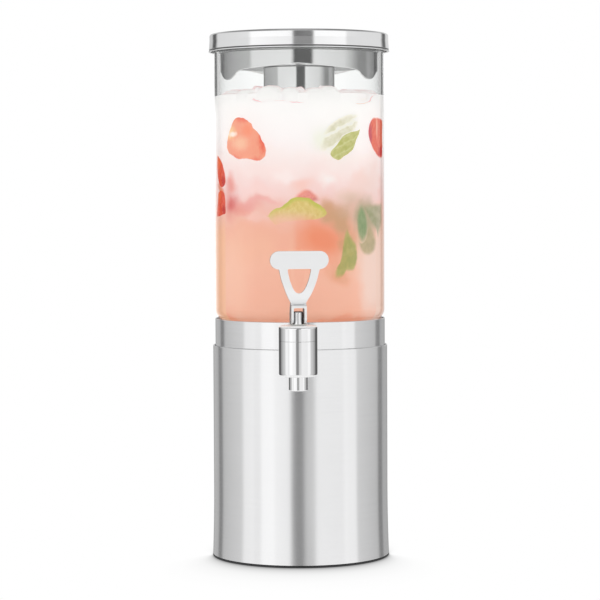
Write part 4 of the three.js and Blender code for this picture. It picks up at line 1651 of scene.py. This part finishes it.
m_berry = fruit("fruit_berry", berry, 0.955)
m_berry_deep = fruit("fruit_berry_deep", berry_deep, 0.93)
m_berry_side = fruit("fruit_berry_side", berry_side, 0.86)
m_berry_soft = fruit("fruit_berry_soft", berry_deep, 0.20, 0.40)
m_leaf_pale = fruit("fruit_leaf_pale", leaf_pale, 0.55, 0.05)
m_leaf_green = fruit("fruit_leaf_green", leaf_green, 0.92)
m_mint = fruit("fruit_mint", mint, 0.70, 0.06)
m_mint_cool = fruit("fruit_mint_cool", mint_cool, 0.45, 0.10)
m_mint_grey = fruit("fruit_mint_grey", mint_grey, 0.50, 0.15)
m_mint_pale = fruit("fruit_mint_pale", mint_pale, 0.60, 0.10)
m_lime = fruit("fruit_lime", lime, 0.93, 0.0)

patch(
    "drink_berry_1",
    [(-57.4, 394), (-53.5, 394.3), (-49.6, 393.1), (-45.7, 390.5), (-42.9, 388.3), (-41.3, 384.5),
     (-37.9, 381.2), (-35.1, 377.9), (-33.5, 373.5), (-31.3, 370.2), (-29.9, 365.9), (-30, 361.6),
     (-31.3, 358.3), (-34.1, 356.2), (-38.1, 355.4), (-43.1, 356.5), (-48.7, 357.3), (-54.3, 357),
     (-58.2, 358.8), (-62.1, 361.6), (-64.5, 364.4), (-65.4, 368.8), (-65.1, 373.2), (-64.2, 377.6),
     (-63.1, 381.9), (-61.4, 386.2), (-60.2, 390.5)],
    m_berry,
    "strawberry",
)
patch(
    "drink_leaf_1",
    [(55, 399.6), (44.4, 398.3), (34.3, 393.8), (26.4, 388.3), (20.8, 379.6), (18, 371),
     (16.8, 364.5), (19.6, 361.3), (26.3, 361.3), (30.8, 364.6), (35.3, 370), (39.8, 376.5),
     (46.5, 379.9), (52.7, 383.2), (55.5, 388.8), (55.8, 395.3)],
    m_leaf_pale,
    "green_fruit",
    0.16,
)
patch(
    "drink_leaf_2",
    [(55.2, 383.8), (52.7, 382.2), (46.5, 381), (39.8, 377.6), (36.5, 373.8), (33.1, 368.9),
     (28.6, 364), (27.4, 360.2), (29.7, 357.5), (33, 355.9), (36.4, 355.9), (39.8, 358.6),
     (44.2, 361.4), (48.7, 365.8), (51.5, 373.4), (54.4, 380)],
    m_leaf_green,
    "green_fruit",
)
patch(
    "drink_berry_2",
    [(66.7, 394.7), (63.9, 391.3), (62, 385.7), (61.6, 379.1), (63.1, 372.6), (65.5, 366.6),
     (68.3, 361.8), (71.1, 358.1), (74.4, 357.7), (74.9, 365.5), (74.9, 374.4), (74.9, 383.3),
     (75, 392.2), (72.3, 394.3), (69.5, 394.7)],
    m_berry_side,
    "strawberry",
)
patch(
    "drink_berry_4",
    [(-73.8, 361.7), (-71.6, 358.7), (-69.4, 354.1), (-67.8, 348), (-66.7, 342.5), (-66.5, 337),
     (-67.8, 333.7), (-70.6, 332.4), (-72.5, 336), (-73.7, 343.8), (-74.1, 352.7)],
    m_berry_deep,
    "strawberry",
)
patch(
    "drink_berry_5",
    [(-70.7, 330.4), (-67.9, 328.2), (-66.8, 322.6), (-66.6, 317.1), (-66.6, 309.4),
     (-69.1, 308.2), (-74.2, 306.4), (-74.3, 312.5), (-73.5, 321.5), (-72.9, 328.2)],
    m_berry_deep,
    "strawberry",
)
patch(
    "drink_lime_1",
    [(-29.9, 307.1), (-26.5, 311.4), (-22, 314.1), (-17.6, 315.4), (-13.1, 318.4), (-8.6, 322.2),
     (-5.2, 324), (-0.7, 324.7), (4.9, 324.3), (9.4, 323.8), (13.3, 321), (17.2, 318.3),
     (21.1, 315.6), (24.5, 312.3), (25.6, 309.6), (22.8, 306.9), (19.4, 305.3), (14.9, 304.3),
     (7, 303.8), (-1.9, 303.3), (-10.9, 302.2), (-17.6, 301.1), (-22.1, 299.5), (-25.5, 302.2),
     (-27.7, 304.9)],
    m_lime,
    "green_fruit",
    0.40,
    centre=(-1, 310.5),
)
patch(
    "drink_berry_3",
    [(-9, 321), (-5, 326.5), (0, 330.4), (5, 332.4), (10, 331.6), (15, 328), (19, 324), (20, 320),
     (12, 317), (2, 317)],
    m_berry_soft,
    "strawberry",
    0.12,
)
patch(
    "drink_mint_1",
    [(42.8, 298), (45.8, 292), (48.8, 287.4), (51.6, 283.4), (52.6, 276), (52.6, 268.5),
     (51.2, 262.8), (48.8, 258.2), (45, 257.2), (41.4, 257.4), (39, 253.6), (35.6, 251.6),
     (31.4, 251.8), (30.6, 256), (32.4, 261.5), (35.4, 266), (37, 272.5), (38, 279), (38.8, 285.5),
     (39.8, 291), (41, 295.4)],
    m_mint,
    "green_fruit",
    0.34,
    centre=(44, 272),
)
patch(
    "drink_mint_2",
    [(54.2, 319.3), (51.7, 312), (50.9, 303), (51.2, 295), (52.3, 286.5), (55.6, 280),
     (59.8, 283), (62.0, 292), (61.6, 303), (59.4, 313), (56.8, 319)],
    m_mint_cool,
    "green_fruit",
    0.36,
)
patch(
    "drink_mint_3",
    [(55.3, 316.8), (64.2, 318.3), (71, 319.9), (75.0, 319.2), (75.2, 311.4), (75.0, 300.2),
     (72.6, 289), (70.6, 286), (69.5, 291.6), (64.7, 299.6), (60.8, 306.3), (58.1, 311.8)],
    m_mint_grey,
    "green_fruit",
    0.26,
)
patch(
    "drink_mint_4",
    [(52.0, 286), (56.5, 289), (60.8, 298.5), (64.2, 299.5), (68.3, 290.5), (69.8, 283.9),
     (68.4, 275.3), (64.1, 271.2), (59.4, 271.0), (55.2, 274.0), (52.8, 280.2)],
    m_mint_pale,
    "green_fruit",
    0.20,
)

# Round the sides and back, the same kinds of fruit.
SLICE = [(0, 20), (7, 18), (13, 12), (17, 3), (16, -7), (10, -15), (3, -19), (-4, -18), (-11, -12),
         (-16, -3), (-16, 8), (-12, 15), (-6, 19)]
LEAF = [(0, 25), (5, 20), (10, 12), (13, 2), (12, -9), (7, -18), (1, -24), (-6, -18), (-11, -9),
        (-12, 2), (-9, 13), (-4, 21)]
WEDGE = [(-25, -6), (-20, 1), (-13, 7), (-4, 11), (6, 11), (15, 7), (22, 0), (25, -7), (12, -9),
         (0, -10), (-13, -9)]


def turned(shape, degrees, x=0.0, z=0.0, size=1.0):
    a = math.radians(degrees)
    return [
        (x + size * (u * math.cos(a) - v * math.sin(a)), z + size * (u * math.sin(a) + v * math.cos(a)))
        for u, v in shape
    ]


for i, (kind, shape, where, z, lean, size) in enumerate(
    [
        (m_berry, SLICE, 122, 372, 20, 1.0),
        (m_leaf_green, LEAF, 158, 352, -50, 0.95),
        (m_berry_side, SLICE, 186, 384, -70, 0.95),
        (m_lime, WEDGE, 142, 308, -8, 1.0),
        (m_mint, LEAF, 170, 276, 28, 0.9),
        (m_berry, SLICE, 216, 330, 60, 0.9),
        (m_leaf_pale, LEAF, 238, 376, 35, 1.0),
        (m_mint_cool, LEAF, 226, 290, -20, 0.9),
        (m_berry_deep, SLICE, 106, 322, 130, 0.8),
        (m_lime, WEDGE, 256, 314, 12, 0.9),
    ]
):
    kinds = {m_berry: "strawberry", m_berry_side: "strawberry", m_berry_deep: "strawberry"}
    patch(
        f"drink_back_{i + 1}",
        turned(shape, lean, 0, z, size),
        kind,
        kinds.get(kind, "green_fruit"),
        0.36,
        place=where,
    )


def cube_of_ice(name, x, y, z, size, tilt, seed):
    """A rounded, half melted cube."""
    bm = bmesh.new()
    bmesh.ops.create_cube(bm, size=1.0)
    bmesh.ops.subdivide_edges(bm, edges=bm.edges, cuts=9, use_grid_fill=True)
    for v in bm.verts:
        c = Vector(v.co)
        ball = c.normalized() * 0.60
        soft_ = c.lerp(ball, 0.42)
        n = noise.noise(soft_ * 3.1 + Vector((seed, 0, 0)))
        v.co = soft_ * (1 + 0.07 * n)
    mesh = bpy.data.meshes.new(name)
    bm.to_mesh(mesh)
    bm.free()
    rot = Euler(tilt).to_matrix().to_4x4()
    scale = Matrix.Diagonal((size[0] * MM, size[1] * MM, size[2] * MM, 1))
    mesh.transform(Matrix.Translation((x * MM, y * MM, z * MM)) @ rot @ scale)
    obj = bpy.data.objects.new(name, mesh)
    bpy.context.scene.collection.objects.link(obj)
    m = obj.modifiers.new("s", "SUBSURF")
    m.levels = m.render_levels = 1
    dg = bpy.context.evaluated_depsgraph_get()
    obj.data = bpy.data.meshes.new_from_object(obj.evaluated_get(dg))
    obj.modifiers.clear()
    soften(obj, 60)
    return finish_piece(obj, ice_mat, "reservoir", "ice")


cube_of_ice("drink_ice_1", -27, -46, 411.0, (26, 20, 16), (0.3, 0.2, 0.4), 1.0)
cube_of_ice("drink_ice_2", -2, -47, 409.0, (20, 18, 16), (0.5, -0.3, 0.2), 2.0)
cube_of_ice("drink_ice_3", 27, -45, 410.6, (22, 20, 16), (-0.2, 0.3, -0.3), 3.0)
cube_of_ice("drink_ice_4", 48, -27, 408.6, (24, 20, 16), (0.2, 0.25, 0.6), 4.0)
cube_of_ice("drink_ice_5", -50, 20, 411.6, (24, 22, 16), (0.2, 0.1, 0.9), 5.0)
cube_of_ice("drink_ice_6", 6, 50, 411.8, (26, 22, 18), (0.3, 0.3, 0.2), 6.0)
cube_of_ice("drink_ice_7", 42, 34, 411.0, (22, 22, 16), (-0.2, 0.2, 0.5), 7.0)


# ------------------------------------------------------------------ CAD pieces that stay
KEPT = {
    "pedestal_shelf": inner_steel,
    "base_plate": inner_steel,
    "collar_deck": inner_steel,
    "jar_gasket": rubber,
    "drain_washer": rubber,
    "drain_fitting": polished_dull,
    "drain_nut": polished_dull,
    "elbow_hose": rubber,
    "hose_clip_drain": polished_dull,
    "hose_clip_tap": polished_dull,
    "tap_washer_inner": rubber,
    "tap_nut": polished_dull,
    "bonnet_oring": rubber,
    "valve_spring": polished_dull,
    "valve_plug": rubber,
}
for name, mat in KEPT.items():
    mesh = frame["nodes"][name].data
    mesh.materials.clear()
    mesh.materials.append(mat)

# ------------------------------------------------------------------ floor
floor = bpy.data.objects.new("floor", bpy.data.meshes.new("floor"))
floor.data.from_pydata(
    [(-6, -6, 0), (6, -6, 0), (6, 6, 0), (-6, 6, 0)], [], [[0, 1, 2, 3]]
)
bpy.context.scene.collection.objects.link(floor)
pale, nt, p = material("floor_pale")
# Painted shadow: a soft dark rim round the foot, longest towards the front, as if the light fell from behind.
here = put(nt, "ShaderNodeTexCoord").outputs["Object"]
flat = put(nt, "ShaderNodeSeparateXYZ", {0: here})
behind = calc(nt, "GREATER_THAN", flat.outputs[1], 0.0)
across = calc(nt, "MULTIPLY", flat.outputs[0], 1 / 0.0797)
depth = calc(nt, "MULTIPLY_ADD", behind, 0.24, 0.158)
along = calc(nt, "MULTIPLY", flat.outputs[1], 1 / 0.0797)
ring = calc(
    nt,
    "SQRT",
    calc(nt, "MULTIPLY_ADD", across, across, calc(nt, "MULTIPLY", along, along)),
)
steep = calc(
    nt,
    "SQRT",
    calc(
        nt,
        "ADD",
        calc(nt, "POWER", calc(nt, "DIVIDE", across, 0.0797 * 5.0), 2.0),
        calc(nt, "POWER", calc(nt, "DIVIDE", along, calc(nt, "MULTIPLY", depth, 0.0797)), 2.0),
    ),
)
away = calc(nt, "DIVIDE", calc(nt, "MULTIPLY", calc(nt, "SUBTRACT", ring, 1.0), ring), steep)
white = ramp(
    nt,
    calc(nt, "DIVIDE", away, 0.020, clamp=True),
    [
        (0.0, lin(160, 160, 160)),
        (0.03, lin(186, 186, 186)),
        (0.07, lin(211, 211, 211)),
        (0.115, lin(223, 223, 223)),
        (0.16, lin(231, 231, 231)),
        (0.21, lin(238, 238, 238)),
        (0.29, lin(245, 245, 245)),
        (0.40, lin(249, 249, 249)),
        (0.60, lin(253, 253, 253)),
        (0.95, (1, 1, 1)),
    ],
)
p.inputs["Base Color"].default_value = (0, 0, 0, 1)
p.inputs["Roughness"].default_value = 1.0
p.inputs["Specular IOR Level"].default_value = 0.0
nt.links.new(white, p.inputs["Emission Color"])
p.inputs["Emission Strength"].default_value = 1.0
floor.data.materials.append(pale)
floor.visible_glossy = False
